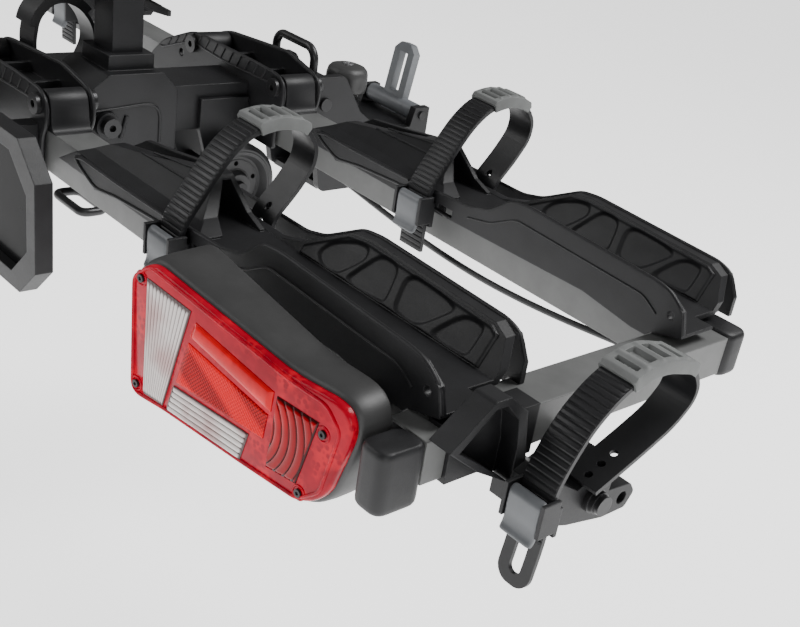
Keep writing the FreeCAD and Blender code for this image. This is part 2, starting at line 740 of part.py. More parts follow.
# Foot pedal: flat loop on two arms, on a pin under the mast bracket
pedal_low = -s.pedal_level
pedal_plate = block(
    "pedal_plate", -s.pedal_half, s.pedal_half, -s.pedal_reach, s.pedal_depth - s.pedal_reach, pedal_low,
    pedal_low + s.pedal_thick,
)
pedal_slot = block(
    "pedal_slot", 9 - s.pedal_half, s.pedal_half - 9, 9 - s.pedal_reach, s.pedal_depth - s.pedal_reach - 8,
    pedal_low - 1, pedal_low + s.pedal_thick + 1,
)
pedal_arms = []
for index, side in enumerate((-1, 1)):
    arm_low = s.pedal_half - s.pedal_thick if side > 0 else -s.pedal_half
    pedal_arms.append(prism(
        f"pedal_arm{index}", "YZ",
        [
            (s.pedal_depth - s.pedal_reach - 8, pedal_low), (s.pedal_depth - s.pedal_reach + 4, pedal_low),
            (pedal_y + 6, pedal_z - 6), (pedal_y + 6, pedal_z + 5), (pedal_y - 6, pedal_z + 5),
            (s.pedal_depth - s.pedal_reach - 8, pedal_low + s.pedal_thick),
        ],
        arm_low, s.pedal_thick,
    ))
pedal_rod = rod("pedal_rod", "x", -s.pedal_half, s.pedal_half * 2, pedal_y, pedal_z, 4)
pedal_body = fuse("pedal_body", cut("pedal_loop", pedal_plate, pedal_slot), *pedal_arms, pedal_rod)
pedal_bore = rod(
    "pedal_bore", "x", -s.pedal_half - 1, s.pedal_half * 2 + 2, pedal_y, pedal_z, 2 + s.running_fit,
)
cut("foot_pedal", pedal_body, pedal_bore)
pedal_pin = rod("pedal_pin", "x", -s.pedal_half - 8, s.pedal_half * 2 + 16, pedal_y, pedal_z, 2)
ears = []
for index, side in enumerate((-1, 1)):
    ear_low = s.pedal_half + 1 if side > 0 else -s.pedal_half - 6
    ears.append(prism(
        f"pedal_ear{index}", "YZ",
        [
            (pedal_y - 10, bracket_low), (pedal_y - 7, pedal_z - 5), (pedal_y + 7, pedal_z - 5),
            (pedal_y + 10, bracket_low),
        ],
        ear_low, 5,
    ))
fuse("pedal_hanger", pedal_pin, *ears)

# Coupling housing: two side plates, a rear floor and the neck of the clamp knob
plate_x0 = s.spine_half + s.plate_gap
plate_x1 = plate_x0 + s.plate_wall
side_outline = [
    (tilt_y - 18, s.bail_pivot + 9),
    (tilt_y - 18, s.tilt_lift - 14),
    (tilt_y - 6, s.tilt_lift - 37),
    (tilt_y + 5, -s.housing_drop),
    (s.cup_reach + 4, -s.cup_drop),
    (s.cup_reach + 7, 0),
    (s.cup_reach + 7, s.lever_lift + 8),
    (s.lever_front - 9, s.lever_lift + 8),
    (s.lever_front - 14, s.cup_top),
    (-s.neck_back + s.neck_radius, s.cup_top),
    (-s.neck_back - s.neck_radius, s.neck_top),
    (tilt_y + 22, s.bail_pivot + 9),
]
plates = []
for index, side in enumerate((-1, 1)):
    low = plate_x0 if side > 0 else -plate_x1
    plates.append(
        prism(f"coupling_plate{index}", "YZ", side_outline, low, s.plate_wall, {0: 8, 1: 6, 3: 8, 11: 8}),
    )
cup = block("cup_block", -plate_x0, plate_x0, -s.cup_reach, s.cup_reach, -s.cup_drop, s.cup_top)
neck_base = block(
    "neck_base", -plate_x0, plate_x0, -s.neck_back - s.neck_radius, -s.cup_reach, -s.housing_drop,
    s.cup_top,
)
neck = rod("neck", "z", s.cup_top, s.neck_top - s.cup_top, 0, -s.neck_back, s.neck_radius)
floor = block(
    "coupling_floor", -plate_x0, plate_x0, tilt_y + 8, -s.neck_back - s.neck_radius, -s.housing_drop,
    6 - s.housing_drop,
)
housing_body = fuse("housing_body", *plates, neck_base, neck, floor)
bore = s.ball_radius + s.ball_clearance
ball_way = rod("ball_way", "z", -s.housing_drop - 1, s.housing_drop + 5, 0, 0, bore)
dome = doc.addObject("Part::Sphere", "ball_dome")
drive(dome, "Radius", bore)
stem_way = rod(
    "stem_way", "z", s.cup_top - 20, s.neck_top - s.cup_top + 30, 0, -s.neck_back,
    s.knob_stem + s.running_fit,
)
tilt_way = rod(
    "tilt_way", "x", -plate_x1 - 1, plate_x1 * 2 + 2, tilt_y, s.tilt_lift,
    s.tilt_pin_radius + s.running_fit,
)
lever_way = rod(
    "lever_way", "x", -plate_x1 - 1, plate_x1 * 2 + 2, s.lever_front, s.lever_lift,
    s.lever_pin_radius + s.running_fit,
)
bail_way = rod(
    "bail_way", "x", -plate_x1 - 1, plate_x1 * 2 + 2, -s.bail_back, s.bail_pivot,
    s.bail_wire + s.running_fit,
)
jaw_way = block(
    "jaw_way", -s.jaw_width / 2 - 0.3, s.jaw_width / 2 + 0.3, 10, s.cup_reach + 20, -s.cup_drop - 1,
    s.jaw_height - s.cup_drop + 0.6,
)
cut("coupling_housing", housing_body, stem_way, tilt_way, lever_way, bail_way)

# Ball cup cast between the side plates, open below and at the jaw's slot
cut("coupling_cup", cup, ball_way, dome, jaw_way, stem_way)

# Ball jaw in its slot at the front of the cup
jaw_blank = block(
    "jaw_blank", -s.jaw_width / 2, s.jaw_width / 2, 12, bore - 0.3 + s.jaw_depth + 4, 0.3 - s.cup_drop,
    s.jaw_height - s.cup_drop,
)
jaw_ball = rod("jaw_ball", "z", -s.housing_drop, s.housing_drop * 2, 0, 0, bore + 0.1)
cut("ball_jaw", jaw_blank, jaw_ball)

# Loop lever over the cup
lever_y = s.lever_front
lever_z = s.lever_lift
LEAN = 9.5
lever_blank = prism(
    "lever_blank", "XZ",
    [
        (s.lever_width / 2 - 3, lever_z - 9), (s.lever_width / 2, lever_z),
        (s.lever_width / 2, lever_z + s.lever_length - 8),
        (s.lever_width / 2 - 8, lever_z + s.lever_length),
        (8 - s.lever_width / 2, lever_z + s.lever_length),
        (-s.lever_width / 2, lever_z + s.lever_length - 8), (-s.lever_width / 2, lever_z),
        (3 - s.lever_width / 2, lever_z - 9),
    ],
    lever_y - s.lever_thick / 2, s.lever_thick, {3: 6, 4: 6},
)
lever_hole = block(
    "lever_hole", -s.lever_slot / 2, s.lever_slot / 2, lever_y - 20, lever_y + 20, lever_z + 12,
    lever_z + s.lever_length - 10,
)
lever_hub = rod(
    "lever_hub", "x", -plate_x0 + 0.4, plate_x0 * 2 - 0.8, lever_y, lever_z, s.lever_pin_radius + 5,
)
lever_bore = rod(
    "lever_bore", "x", -plate_x1, plate_x1 * 2, lever_y, lever_z, s.lever_pin_radius + s.running_fit,
)
lever_upright = cut("lever_upright", fuse("lever_body", lever_blank, lever_hub), lever_hole, lever_bore)
coupling_lever = group("coupling_lever", [lever_upright])
lean = FreeCAD.Rotation(Vector(1, 0, 0), -LEAN)
coupling_lever.Placement = FreeCAD.Placement(Vector(), lean)
swing = math.radians(LEAN)
drive(coupling_lever, "Placement.Base.y", lever_y - lever_y * math.cos(swing) - lever_z * math.sin(swing))
drive(coupling_lever, "Placement.Base.z", lever_z + lever_y * math.sin(swing) - lever_z * math.cos(swing))

# Clamp knob with six lobes and its screw stem
knob_base = s.neck_top + s.knob_gap
knob = doc.addObject("PartDesign::Body", "knob_lobed")
knob_sketch = knob.newObject("Sketcher::SketchObject", "knob_core_outline")
knob_plane = next(item for item in knob.Origin.OriginFeatures if item.Role == "XY_Plane")
knob_sketch.AttachmentSupport = [(knob_plane, "")]
knob_sketch.MapMode = "FlatFace"
knob_sketch.addGeometry(Part.Circle(Vector(0, 0, 0), Vector(0, 0, 1), s.knob_core.value), False)
knob_sketch.addConstraint(Sketcher.Constraint("Coincident", 0, 3, -1, 1))
knob_sketch.addConstraint(Sketcher.Constraint("Radius", 0, s.knob_core.value))
knob_sketch.setExpression("Constraints[1]", s.knob_core.text)
knob_pad = knob.newObject("PartDesign::Pad", "knob_core_pad")
knob_pad.Profile = knob_sketch
drive(knob_pad, "Length", s.knob_height)
lobe_sketch = knob.newObject("Sketcher::SketchObject", "knob_lobe_outline")
lobe_sketch.AttachmentSupport = [(knob_plane, "")]
lobe_sketch.MapMode = "FlatFace"
lobe_sketch.addGeometry(
    Part.Circle(Vector(s.knob_core.value - 1, 0, 0), Vector(0, 0, 1), s.knob_lobe.value), False,
)
lobe_sketch.addConstraint(Sketcher.Constraint("PointOnObject", 0, 3, -1))
lobe_sketch.addConstraint(Sketcher.Constraint("DistanceX", -1, 1, 0, 3, s.knob_core.value - 1))
lobe_sketch.setExpression("Constraints[1]", (s.knob_core - 1).text)
lobe_sketch.addConstraint(Sketcher.Constraint("Radius", 0, s.knob_lobe.value))
lobe_sketch.setExpression("Constraints[2]", s.knob_lobe.text)
lobe_pad = knob.newObject("PartDesign::Pad", "knob_lobe_pad")
lobe_pad.Profile = lobe_sketch
drive(lobe_pad, "Length", s.knob_height)
doc.recompute()
lobes = knob.newObject("PartDesign::PolarPattern", "knob_lobes")
lobes.Originals = [lobe_pad]
lobes.Axis = (knob_sketch, ["N_Axis"])
lobes.Angle = 360
lobes.Occurrences = 6
knob.Tip = lobes
doc.recompute()
drive(knob, "Placement.Base.y", -s.neck_back)
drive(knob, "Placement.Base.z", knob_base)
stem = rod("knob_stem_rod", "z", s.cup_top - 10, knob_base - s.cup_top + 11, 0, -s.neck_back, s.knob_stem)
collar = rod("knob_collar", "z", s.neck_top + 0.3, s.knob_gap, 0, -s.neck_back, s.neck_radius - 3)
knob_solid = fuse("knob_solid", knob, stem, collar)
lock_seat = rod(
    "lock_seat", "z", knob_base + s.knob_height - 12, 20, 0, -s.neck_back, s.lock_radius + s.running_fit,
)
cut("clamp_knob", knob_solid, lock_seat)
lock_body = rod("lock_body", "z", knob_base + s.knob_height - 12, 13, 0, -s.neck_back, s.lock_radius)
key_way = block(
    "key_way", -1, 1, -s.neck_back - 3.2, 3.2 - s.neck_back, knob_base + s.knob_height - 5,
    knob_base + s.knob_height + 3,
)
cut("lock_barrel", lock_body, key_way)

# Tilt pin and lever pin
tilt_pin = rod("tilt_pin", "x", -plate_x1 - 3, plate_x1 * 2 + 6, tilt_y, s.tilt_lift, s.tilt_pin_radius)
lever_pin = rod("lever_pin", "x", -plate_x1 - 2, plate_x1 * 2 + 4, lever_y, lever_z, s.lever_pin_radius)
spacers = []
for index, side in enumerate((-1, 1)):
    low = s.spine_half + 0.3 if side > 0 else -plate_x0
    outer_ring = rod(
        f"spacer_ring{index}", "x", low, s.plate_gap - 0.3, tilt_y, s.tilt_lift, s.tilt_pin_radius + 5,
    )
    inner_ring = rod(
        f"spacer_bore{index}", "x", low - 1, s.plate_gap + 2, tilt_y, s.tilt_lift, s.tilt_pin_radius,
    )
    spacers.append(cut(f"tilt_spacer{index}", outer_ring, inner_ring))
group("coupling_pins", [tilt_pin, lever_pin, *spacers])

# Wire bail: two legs, a top bar and feet in the side plates
bail_y = float(-s.bail_back)
half, wire_r, low_z, high_z, bend = [
    float(item) for item in (s.bail_half, s.bail_wire, s.bail_pivot, s.bail_top, s.bail_corner)
]
foot = float(plate_x1)
small = wire_r + 1.5


def bail_path():
    """Route of the wire from one foot over the top to the other."""
    tangent = math.sin(math.radians(45))
    right = [
        ("line", (foot, low_z), (half + small, low_z)),
        (
            "arc", (half + small, low_z),
            (half + small - small * tangent, low_z + small - small * tangent), (half, low_z + small),
        ),
        ("line", (half, low_z + small), (half, high_z - bend)),
        (
            "arc", (half, high_z - bend), (half - bend + bend * tangent, high_z - bend + bend * tangent),
            (half - bend, high_z),
        ),
    ]
    edges = []
    for piece in right + [("line", (half - bend, high_z), (bend - half, high_z))]:
        edges.append([Vector(a, bail_y, b) for a, b in piece[1:]])
    for piece in reversed(right):
        edges.append([Vector(-a, bail_y, b) for a, b in reversed(piece[1:])])
    return Part.Wire([
        Part.LineSegment(*spots).toShape() if len(spots) == 2 else Part.Arc(*spots).toShape() for spots in edges
    ])


bail_wire = bail_path()
bail_section = Part.Wire([Part.Circle(Vector(foot, bail_y, low_z), Vector(1, 0, 0), wire_r).toShape()])
shaped("bail_handle", bail_wire.makePipeShell([bail_section], True, False))

# Wings: rails, crossbeam, caps
rails = []
for rail_name, face in RAILS:
    outer_tube = block(
        f"{rail_name}_rail_body", rail_start, s.beam_inner, face, face + s.rail_width, rail_bottom,
        s.rail_top,
    )
    inner_tube = block(
        f"{rail_name}_rail_hollow", rail_start - 1, s.beam_inner + 1, face + s.tube_wall,
        face + s.rail_width - s.tube_wall, rail_bottom + s.tube_wall, s.rail_top - s.tube_wall,
    )
    tube = cut(f"{rail_name}_rail_tube", outer_tube, inner_tube)
    knuckle_foot = block(
        f"{rail_name}_knuckle_foot", s.hinge_reach - s.knuckle_inner, s.hinge_reach + s.knuckle_outer,
        face, face + s.rail_width, s.rail_top, s.rail_top + 7,
    )
    knuckle_post = block(
        f"{rail_name}_knuckle_post", s.hinge_reach - s.knuckle_radius, s.hinge_reach + s.knuckle_radius,
        face, face + s.rail_width, s.rail_top, hinge_z,
    )
    eye = rod(f"{rail_name}_knuckle_eye", "y", face, s.rail_width, s.hinge_reach, hinge_z, s.knuckle_radius)
    eye_way = rod(
        f"{rail_name}_knuckle_way", "y", face - 1, s.rail_width + 2, s.hinge_reach, hinge_z,
        s.hinge_pin_radius + s.running_fit,
    )
    knuckle = cut(
        f"{rail_name}_knuckle", fuse(f"{rail_name}_knuckle_body", knuckle_foot, knuckle_post, eye), eye_way,
    )
    rails.append(fuse(f"{rail_name}_rail", tube, knuckle))
right_rails = group("right_rails", rails)
mirrored("left_rails", right_rails)

cross_body = block("crossbeam_body", s.beam_inner, beam_outer, beam_rear, beam_front, beam_bottom, beam_top)
cross_hollow = block(
    "crossbeam_hollow", s.beam_inner + s.tube_wall, beam_outer - s.tube_wall, beam_rear - 1, beam_front + 1,
    beam_bottom + s.tube_wall, beam_top - s.tube_wall,
)
right_crossbeam = cut("right_crossbeam", cross_body, cross_hollow)
mirrored("left_crossbeam", right_crossbeam)

rear_cap = prism(
    "rear_cap_block", "XY",
    [
        (s.beam_inner - 2, beam_rear), (beam_outer + 2, beam_rear), (beam_outer + 2, beam_rear - 26),
        (beam_outer - 4, beam_rear - 32), (s.beam_inner + 15, beam_rear - 32),
        (s.beam_inner + 12, beam_rear - 29),
        (s.beam_inner + 12, beam_rear - 3), (s.beam_inner - 2, beam_rear - 3),
    ],
    beam_bottom - 15, s.beam_height + 17, {2: 4, 3: 4},
)
rear_plug = block(
    "rear_cap_plug", s.beam_inner + s.tube_wall, beam_outer - s.tube_wall, beam_rear, beam_rear + 14,
    beam_bottom + s.tube_wall, beam_top - s.tube_wall,
)
front_cap = prism(
    "front_cap_block", "YZ",
    [
        (beam_front, beam_top + 2), (beam_front + 16, beam_top + 1), (beam_front + 23, beam_top - 8),
        (beam_front + 20, beam_bottom - 1), (beam_front, beam_bottom - 2),
    ],
    s.beam_inner - 2, s.beam_width + 4, {1: 5, 2: 5},
)
front_plug = block(
    "front_cap_plug", s.beam_inner + s.tube_wall, beam_outer - s.tube_wall, beam_front - 14, beam_front,
    beam_bottom + s.tube_wall, beam_top - s.tube_wall,
)
right_caps = group("right_crossbeam_caps", [
    fuse("rear_cap", rear_cap, rear_plug),
    fuse("front_cap", front_cap, front_plug),
])
mirrored("left_crossbeam_caps", right_caps)

# Wheel trays: rear wall, floor over the rail, sloping front wall and the inner fairing
strap_left = s.beam_inner - s.strap_back - s.strap_width
strap_right = strap_left + s.strap_width


def out(amount):
    """X measured with the crossbeam, for shapes drawn 518 mm from the middle."""
    return s.beam_inner + (amount - 518)


def inn(amount):
    """X measured with the tray's inner tip, for shapes drawn from 140 mm."""
    return s.tray_inner + (amount - 140)


def tray(name, face, full):
    """One wheel tray on the rail whose rear face is at face."""
    seat = s.tray_seat
    wall = s.tray_wall
    rear_side = prism(f"{name}_rear_section", "YZ", around(face, [
        (-s.tray_rear, -12), (-s.tray_rear, 40), (wall - s.tray_rear, 40),
        (wall - s.tray_rear + 1, seat + wall),
        (21, seat + wall), (21, seat), (wall - s.tray_rear, seat), (wall - s.tray_rear, -12),
    ]), inn(140), out(543) - inn(140))
    rear_shape = prism(f"{name}_rear_shape", "XZ", [
        (inn(140 if full else 236), s.rail_top + 6), (inn(170 if full else 244), s.rail_top - 9),
        (inn(201 if full else 250), s.rail_top - 4), (inn(254), s.rail_top),
        (out(311), s.rail_top - 5), (out(454), s.rail_top - 2), (out(501), s.rail_top - 8),
        (out(514), s.rail_top - 8), (out(517), beam_top + 0.3), (out(543), s.rail_top + 2.5),
        (out(538), s.rail_top + 20),
        (out(524), s.rail_top + 29), (out(511), s.rail_top + 31), (out(390), s.rail_top + 35),
        (out(372), s.rail_top + 33), (out(352), s.rail_top + 18), (out(329), s.rail_top + 12),
        (inn(262), s.rail_top + 9),
    ], face - s.tray_rear - 1, s.tray_rear + 25, {13: 12})
    rear_part = common(f"{name}_rear_part", rear_side, rear_shape)
    front_edge = s.tray_front
    front_side = prism(f"{name}_front_section", "YZ", around(face, [
        (20, seat), (20, seat + wall), (42, seat + wall), (front_edge - 6, 38), (front_edge, 38),
        (front_edge, -10),
        (front_edge - wall, -10), (front_edge - wall, 28), (46, seat),
    ]), inn(225), out(530) - inn(225))
    front_shape = prism(f"{name}_front_shape", "XZ", [
        (inn(229), s.rail_top - 1), (out(300), s.rail_top - 9), (out(514), s.rail_top - 9),
        (out(517), beam_top + 0.3),
        (out(527), beam_top + 0.3), (out(527), s.rail_top + 10),
        (out(518), s.rail_top + 25), (out(506), s.rail_top + 29), (out(388), s.rail_top + 32),
        (out(371), s.rail_top + 30), (out(333), s.rail_top + 10), (out(312), s.rail_top + 5),
        (inn(229), s.rail_top + 5),
    ], face + 18, s.tray_front - 16, {8: 10})
    front_part = common(f"{name}_front_part", front_side, front_shape)
    pieces = [rear_part, front_part]
    if full:
        hump_side = prism(f"{name}_hump_section", "YZ", around(face, [
            (-10, -10), (-10, 7), (0, 11), (29, 33), (40.5, 33), (40.5, -9), (36.5, -9), (36.5, 28),
            (30, 28),
            (1, seat), (-6.6, seat), (-6.6, -10),
        ]), inn(107), inn(300) - inn(107))
        hump_shape = prism(f"{name}_hump_shape", "XZ", [
            (inn(107), s.rail_top - 8), (inn(300), s.rail_top - 8), (inn(300), s.rail_top + 6),
            (inn(284), s.rail_top + 12), (inn(258), s.rail_top + 31), (inn(246), s.rail_top + 31),
            (inn(190), s.rail_top + 22), (inn(152), s.rail_top + 17), (inn(140), s.rail_top + 10),
        ], face - 20, as_term(80), {4: 4, 5: 4})
        pieces.append(common(f"{name}_hump", hump_side, hump_shape))
    lug = block(
        f"{name}_strap_lug", strap_left - 2, strap_right + 2, face + 36, face + 50, s.rail_top - 18,
        s.rail_top + seat + 1,
    )
    pieces.append(lug)
    body = fuse(f"{name}_body", *pieces)
    slot = block(
        f"{name}_strap_slot", strap_right + 6, strap_right + 22, face - s.tray_rear - 2,
        face - s.tray_rear + 6,
        s.rail_top - 3, s.rail_top + 3,
    )
    end_hole = rod(f"{name}_end_hole", "y", face - s.tray_rear - 5, 12, out(530), s.rail_top + 14, 3)
    return cut(name, body, slot, end_hole)


near_tray = tray("right_near_tray", near_face, True)
tray("right_far_tray", far_face, True)
mirrored("left_near_tray", near_tray)
mirrored("left_far_tray", tray("short_far_tray", far_face, False))

# Lamps: a five-sided housing and lens, turned slightly outwards
LENS = (
    (0, 7), (17, 23), (142, 7), (181, 9), (190, 4), (193, -7), (179, -54), (161, -68), (112, -69),
    (38, -70), (10, -72), (3, -67),
)
turn = math.radians(float(s.lamp_turn))
lamp_y = float(near_face) - 80
lamp_base = Vector(float(s.beam_inner) - 518 + float(s.lamp_inner), lamp_y, float(s.rail_top))
along = Vector(math.cos(turn), math.sin(turn), 0)
inwards = Vector(-math.sin(turn), math.cos(turn), 0)


def lamp_layer(grow, start, depth, outline=LENS):
    """Slab of the lamp between two depths behind its face."""
    middle = Vector(96, -30, 0)
    spots = []
    for a, b in outline:
        step = Vector(a, b, 0) - middle
        step = step * (1 + grow / step.Length)
        local = middle + step
        spots.append(lamp_base + along * local.x + Vector(0, 0, local.y) + inwards * start)
    wire = Part.makePolygon(spots + spots[:1])
    return Part.Face(wire).extrude(inwards * depth)


def softened(shape, radius):
    """Round the edges that run across the slab."""
    edges = [edge for edge in shape.Edges if abs(edge.tangentAt(edge.FirstParameter).dot(inwards)) > 0.99]
    return shape.makeFillet(radius, edges)


lens_depth = float(s.lamp_lens)
rim = float(s.lamp_rim)
depth = float(s.lamp_depth)
lens_shape = softened(lamp_layer(0, 0, lens_depth - 8), 3)
housing_block = softened(lamp_layer(rim, lens_depth - 7.7, depth * 3), 3)
housing_back = float(beam_rear) - float(s.lamp_back_gap)
behind = Part.makeBox(300, 200, 300, Vector(lamp_base.x - 50, housing_back, float(s.rail_top) - 150))
housing_shape = housing_block.cut(behind)
lug_x = float(s.beam_inner) - 46
lug_y = housing_back - 4
lug_top = float(s.rail_top) - 14
lug = Part.makeBox(26, float(near_face) - lug_y, 16, Vector(lug_x, lug_y, lug_top - 16))
lamp_housing = shaped("right_lamp_housing", housing_shape.fuse(lug).removeSplitter())
lamp_lens = shaped("right_lamp_lens", lens_shape)
mirrored("left_lamp_housing", lamp_housing)
mirrored("left_lamp_lens", lamp_lens)

# Outer wheel holder on the crossbeam


def holder(name, shift):
    """Saddle on the crossbeam, hollow shell, arm with a strap seat and an eye."""
    face = near_face + shift
    wall = s.holder_wall
    saddle_body = prism(f"{name}_saddle", "XZ", [
        (s.beam_inner + 1, beam_bottom - wall), (beam_outer + wall, beam_bottom - wall),
        (beam_outer + wall, beam_top + wall), (s.beam_inner + 14, beam_top + wall),
        (s.beam_inner + 14, beam_top),
        (s.beam_inner + 14, beam_bottom), (s.beam_inner + 1, beam_bottom),
    ], face - 12, as_term(70))
    shell_outer = prism(f"{name}_shell", "YZ", around(face, [
        (-27.5, -3), (2, 21), (14, 21), (30, 8), (42, -48), (-3, -22),
    ]), beam_outer, s.outer_strap - 43, {1: 5, 2: 5})
    arm = prism(f"{name}_arm", "YZ", around(face, [
        (28.5, -31), (38, -27), (58, -39.5), (88, -27), (92, -34), (90, -50), (112, -52), (118, -60),
        (112, -70),
        (90, -70), (55, -63), (28.5, -54),
    ]), beam_outer + wall, s.outer_strap - wall + s.strap_width / 2 + 2 - s.beam_width, {6: 4, 7: 4, 8: 4})
    body = fuse(f"{name}_body", saddle_body, shell_outer, arm)
    beam_gap = block(
        f"{name}_beam_gap", s.beam_inner, beam_outer, face - 40, face + 80, beam_bottom, beam_top,
    )
    shell_way = prism(f"{name}_shell_way", "YZ", around(face, [
        (-20, -5), (3, 16), (12, 16), (24, 4), (28, -16), (28, -40), (0, -19),
    ]), beam_outer + wall, as_term(60))
    eye_hole = rod(f"{name}_eye_hole", "x", beam_outer, as_term(80), face + 106, s.rail_top - 61, 4.5)
    return cut(name, body, beam_gap, shell_way, eye_hole)


holder("right_wheel_holder", as_term(0))
mirrored("left_wheel_holder", holder("forward_holder", s.far_holder_shift))

# Straps, pads, buckles and buckle levers. Points are from the rail's rear face and top
INNER_STRAP = (
    (-19.7, -40), (-19.7, 10), (-8, 27), (3, 43), (16, 60), (32, 72.5), (54, 76.5), (74, 71.5), (84, 58),
    (83, 44), (71, 27),
    (51.7, 6), (51.7, -16),
)
OUTER_STRAP = (
    (18, -92), (23, -58), (23.5, -24), (33, -4), (44, 13), (64, 30), (93, 38.5), (131, 28.5), (142, 9),
    (126, -8),
    (100, -20.2), (61.3, -36.3),
)
thick = float(s.strap_thick)
width = float(s.strap_width)
pad_thick = float(s.pad_thick)


def path_from(points, face):
    """Strap points in the rack's frame."""
    return [(float(face) + a, float(s.rail_top) + b) for a, b in points]


def strap(points, face, left, hole_at):
    """Strap with three fixing holes near its end."""
    shape = ribbon(path_from(points, face), thick, left, width)
    hole_y, hole_z, dir_y, dir_z = hole_at
    for step in range(3):
        centre = Vector(
            left + width / 2, float(face) + hole_y + dir_y * step * 11,
            float(s.rail_top) + hole_z + dir_z * step * 11,
        )
        normal = Vector(0, -dir_z, dir_y)
        shape = shape.cut(Part.makeCylinder(2.6, 14, centre - normal * 7, normal))
    return shape


def round_tail(shape, points, face, left):
    """Free end of a strap: round corners and an oval finger hole."""
    start, after = [Vector(left + width / 2, a, b) for a, b in path_from(points, face)[:2]]
    run = (after - start).normalize()
    normal = Vector(0, -run.z, run.y)
    corners = [
        edge for edge in shape.Edges
        if abs(edge.Length - thick) < 0.01 and (edge.CenterOfMass - start).Length < width / 2 + 0.5
    ]
    shape = shape.makeFillet(width * 0.42, corners)
    ends = [start + run * reach - normal * 7 for reach in (12, 27)]
    hole = Part.makeCylinder(4.5, 14, ends[0], normal).fuse(Part.makeCylinder(4.5, 14, ends[1], normal))
    across = Vector(4.5, 0, 0)
    middle = Part.makePolygon([
        ends[0] - across, ends[0] + across, ends[1] + across, ends[1] - across, ends[0] - across,
    ])
    return shape.cut(hole).cut(Part.Face(middle).extrude(normal * 14))


def pad(points, face, left, corners):
    """Soft pad over the strap's top stretch."""
    lift = thick / 2 + pad_thick / 2 + 0.3
    return ribbon(path_from(points, face), pad_thick, left - 1.5, width + 3, lift, corners)


strap_x = float(strap_left)
outer_x = float(beam_outer) - float(s.beam_width) + float(s.outer_strap)
PAD_INNER = (5, 7)
PAD_OUTER = (5, 7)
BUCKLES = {"inner": (0.0, 0.0), "outer": (43.5, -34.0)}


def buckle(face, left, shift):
    """Buckle body: base plate behind the strap, two cheeks and the lever pin."""
    y0 = float(face) - 15 + shift[0]
    z0 = float(s.rail_top) + shift[1]
    wall = float(s.buckle_wall)
    gap = 0.5
    base = Part.makeBox(width + 2 * gap + 2 * wall, 2.8, 20, Vector(left - gap - wall, y0 - 3.0, z0 - 18))
    body = base
    for low in (left - gap - wall, left + width + gap):
        body = body.fuse(Part.makeBox(wall, 14, 22, Vector(low, y0 - 16.5, z0 - 15)))
    pin = Part.makeCylinder(
        float(s.buckle_pin), width + 2 * gap + 2 * wall, Vector(left - gap - wall, y0 - 12.5, z0 + 3),
        Vector(1, 0, 0),
    )
    return body.fuse(pin).removeSplitter()


def buckle_lever(face, left, shift):
    """Thumb lever that hangs from the buckle's pin in front of the strap."""
    y0 = float(face) - 15 + shift[0]
    z0 = float(s.rail_top) + shift[1]
    eye = Part.makeCylinder(3.6, width, Vector(left, y0 - 12.5, z0 + 3), Vector(1, 0, 0))
    blade = Part.makeBox(width, 4, 24, Vector(left, y0 - 16.1, z0 - 21))
    tip = Part.makeBox(width - 4, 5, 5, Vector(left + 2, y0 - 18.6, z0 - 23))
    bore_way = Part.makeCylinder(
        float(s.buckle_pin) + float(s.running_fit), width + 2, Vector(left - 1, y0 - 12.5, z0 + 3),
        Vector(1, 0, 0),
    )
    return eye.fuse([blade, tip]).cut(bore_way).removeSplitter()


inner_hole = (51.7, -9, 0, 1)
outer_hole = (68, -33.5, 0.923, 0.385)
shift_left = float(near_face) + float(s.far_holder_shift)
inner_straps = [
    shaped(f"{rail_name}_strap", strap(INNER_STRAP, face, strap_x, inner_hole)) for rail_name,
    face in RAILS
]
outer_right, outer_left = [
    shaped(
        f"outer_strap_{word}",
        round_tail(strap(OUTER_STRAP, face, outer_x, outer_hole), OUTER_STRAP, face, outer_x),
    )
    for word, face in (("right", near_face), ("left", shift_left))
]
group("right_straps", [*inner_straps, outer_right])
mirrored("left_straps", group("straps_to_mirror", [*inner_straps, outer_left]))

inner_pads = [
    shaped(f"{rail_name}_pad", pad(INNER_STRAP, face, strap_x, PAD_INNER)) for rail_name, face in RAILS
]
outer_pad_right = shaped("outer_pad_right", pad(OUTER_STRAP, near_face, outer_x, PAD_OUTER))
outer_pad_left = shaped("outer_pad_left", pad(OUTER_STRAP, shift_left, outer_x, PAD_OUTER))
group("right_strap_pads", [*inner_pads, outer_pad_right])
mirrored("left_strap_pads", group("pads_to_mirror", [*inner_pads, outer_pad_left]))

inner_buckles = [
    shaped(f"{rail_name}_buckle", buckle(face, strap_x, BUCKLES["inner"])) for rail_name, face in RAILS
]
outer_buckle_right = shaped("outer_buckle_right", buckle(near_face, outer_x, BUCKLES["outer"]))
outer_buckle_left = shaped("outer_buckle_left", buckle(shift_left, outer_x, BUCKLES["outer"]))
group("right_strap_buckles", [*inner_buckles, outer_buckle_right])
mirrored("left_strap_buckles", group("buckles_to_mirror", [*inner_buckles, outer_buckle_left]))

for rail_name, face in RAILS:
    lever_item = shaped(f"right_{rail_name}_buckle_lever", buckle_lever(face, strap_x, BUCKLES["inner"]))
    mirrored(f"left_{rail_name}_buckle_lever", lever_item)
shaped("right_outer_buckle_lever", buckle_lever(near_face, outer_x, BUCKLES["outer"]))
mirrored(
    "left_outer_buckle_lever",
    shaped("lever_to_mirror", buckle_lever(shift_left, outer_x, BUCKLES["outer"])),
)


# Wing fasteners: strap screws, tray bolts, lens screws and the holder's bolt with its rings


def screw(centre, direction, radius, height, socket):
    """Pan-head screw seated on a face, with a round socket."""
    head = Part.makeCylinder(radius, height, centre, direction)
    return head.cut(Part.makeCylinder(socket, height, centre + direction * (height * 0.45), direction))


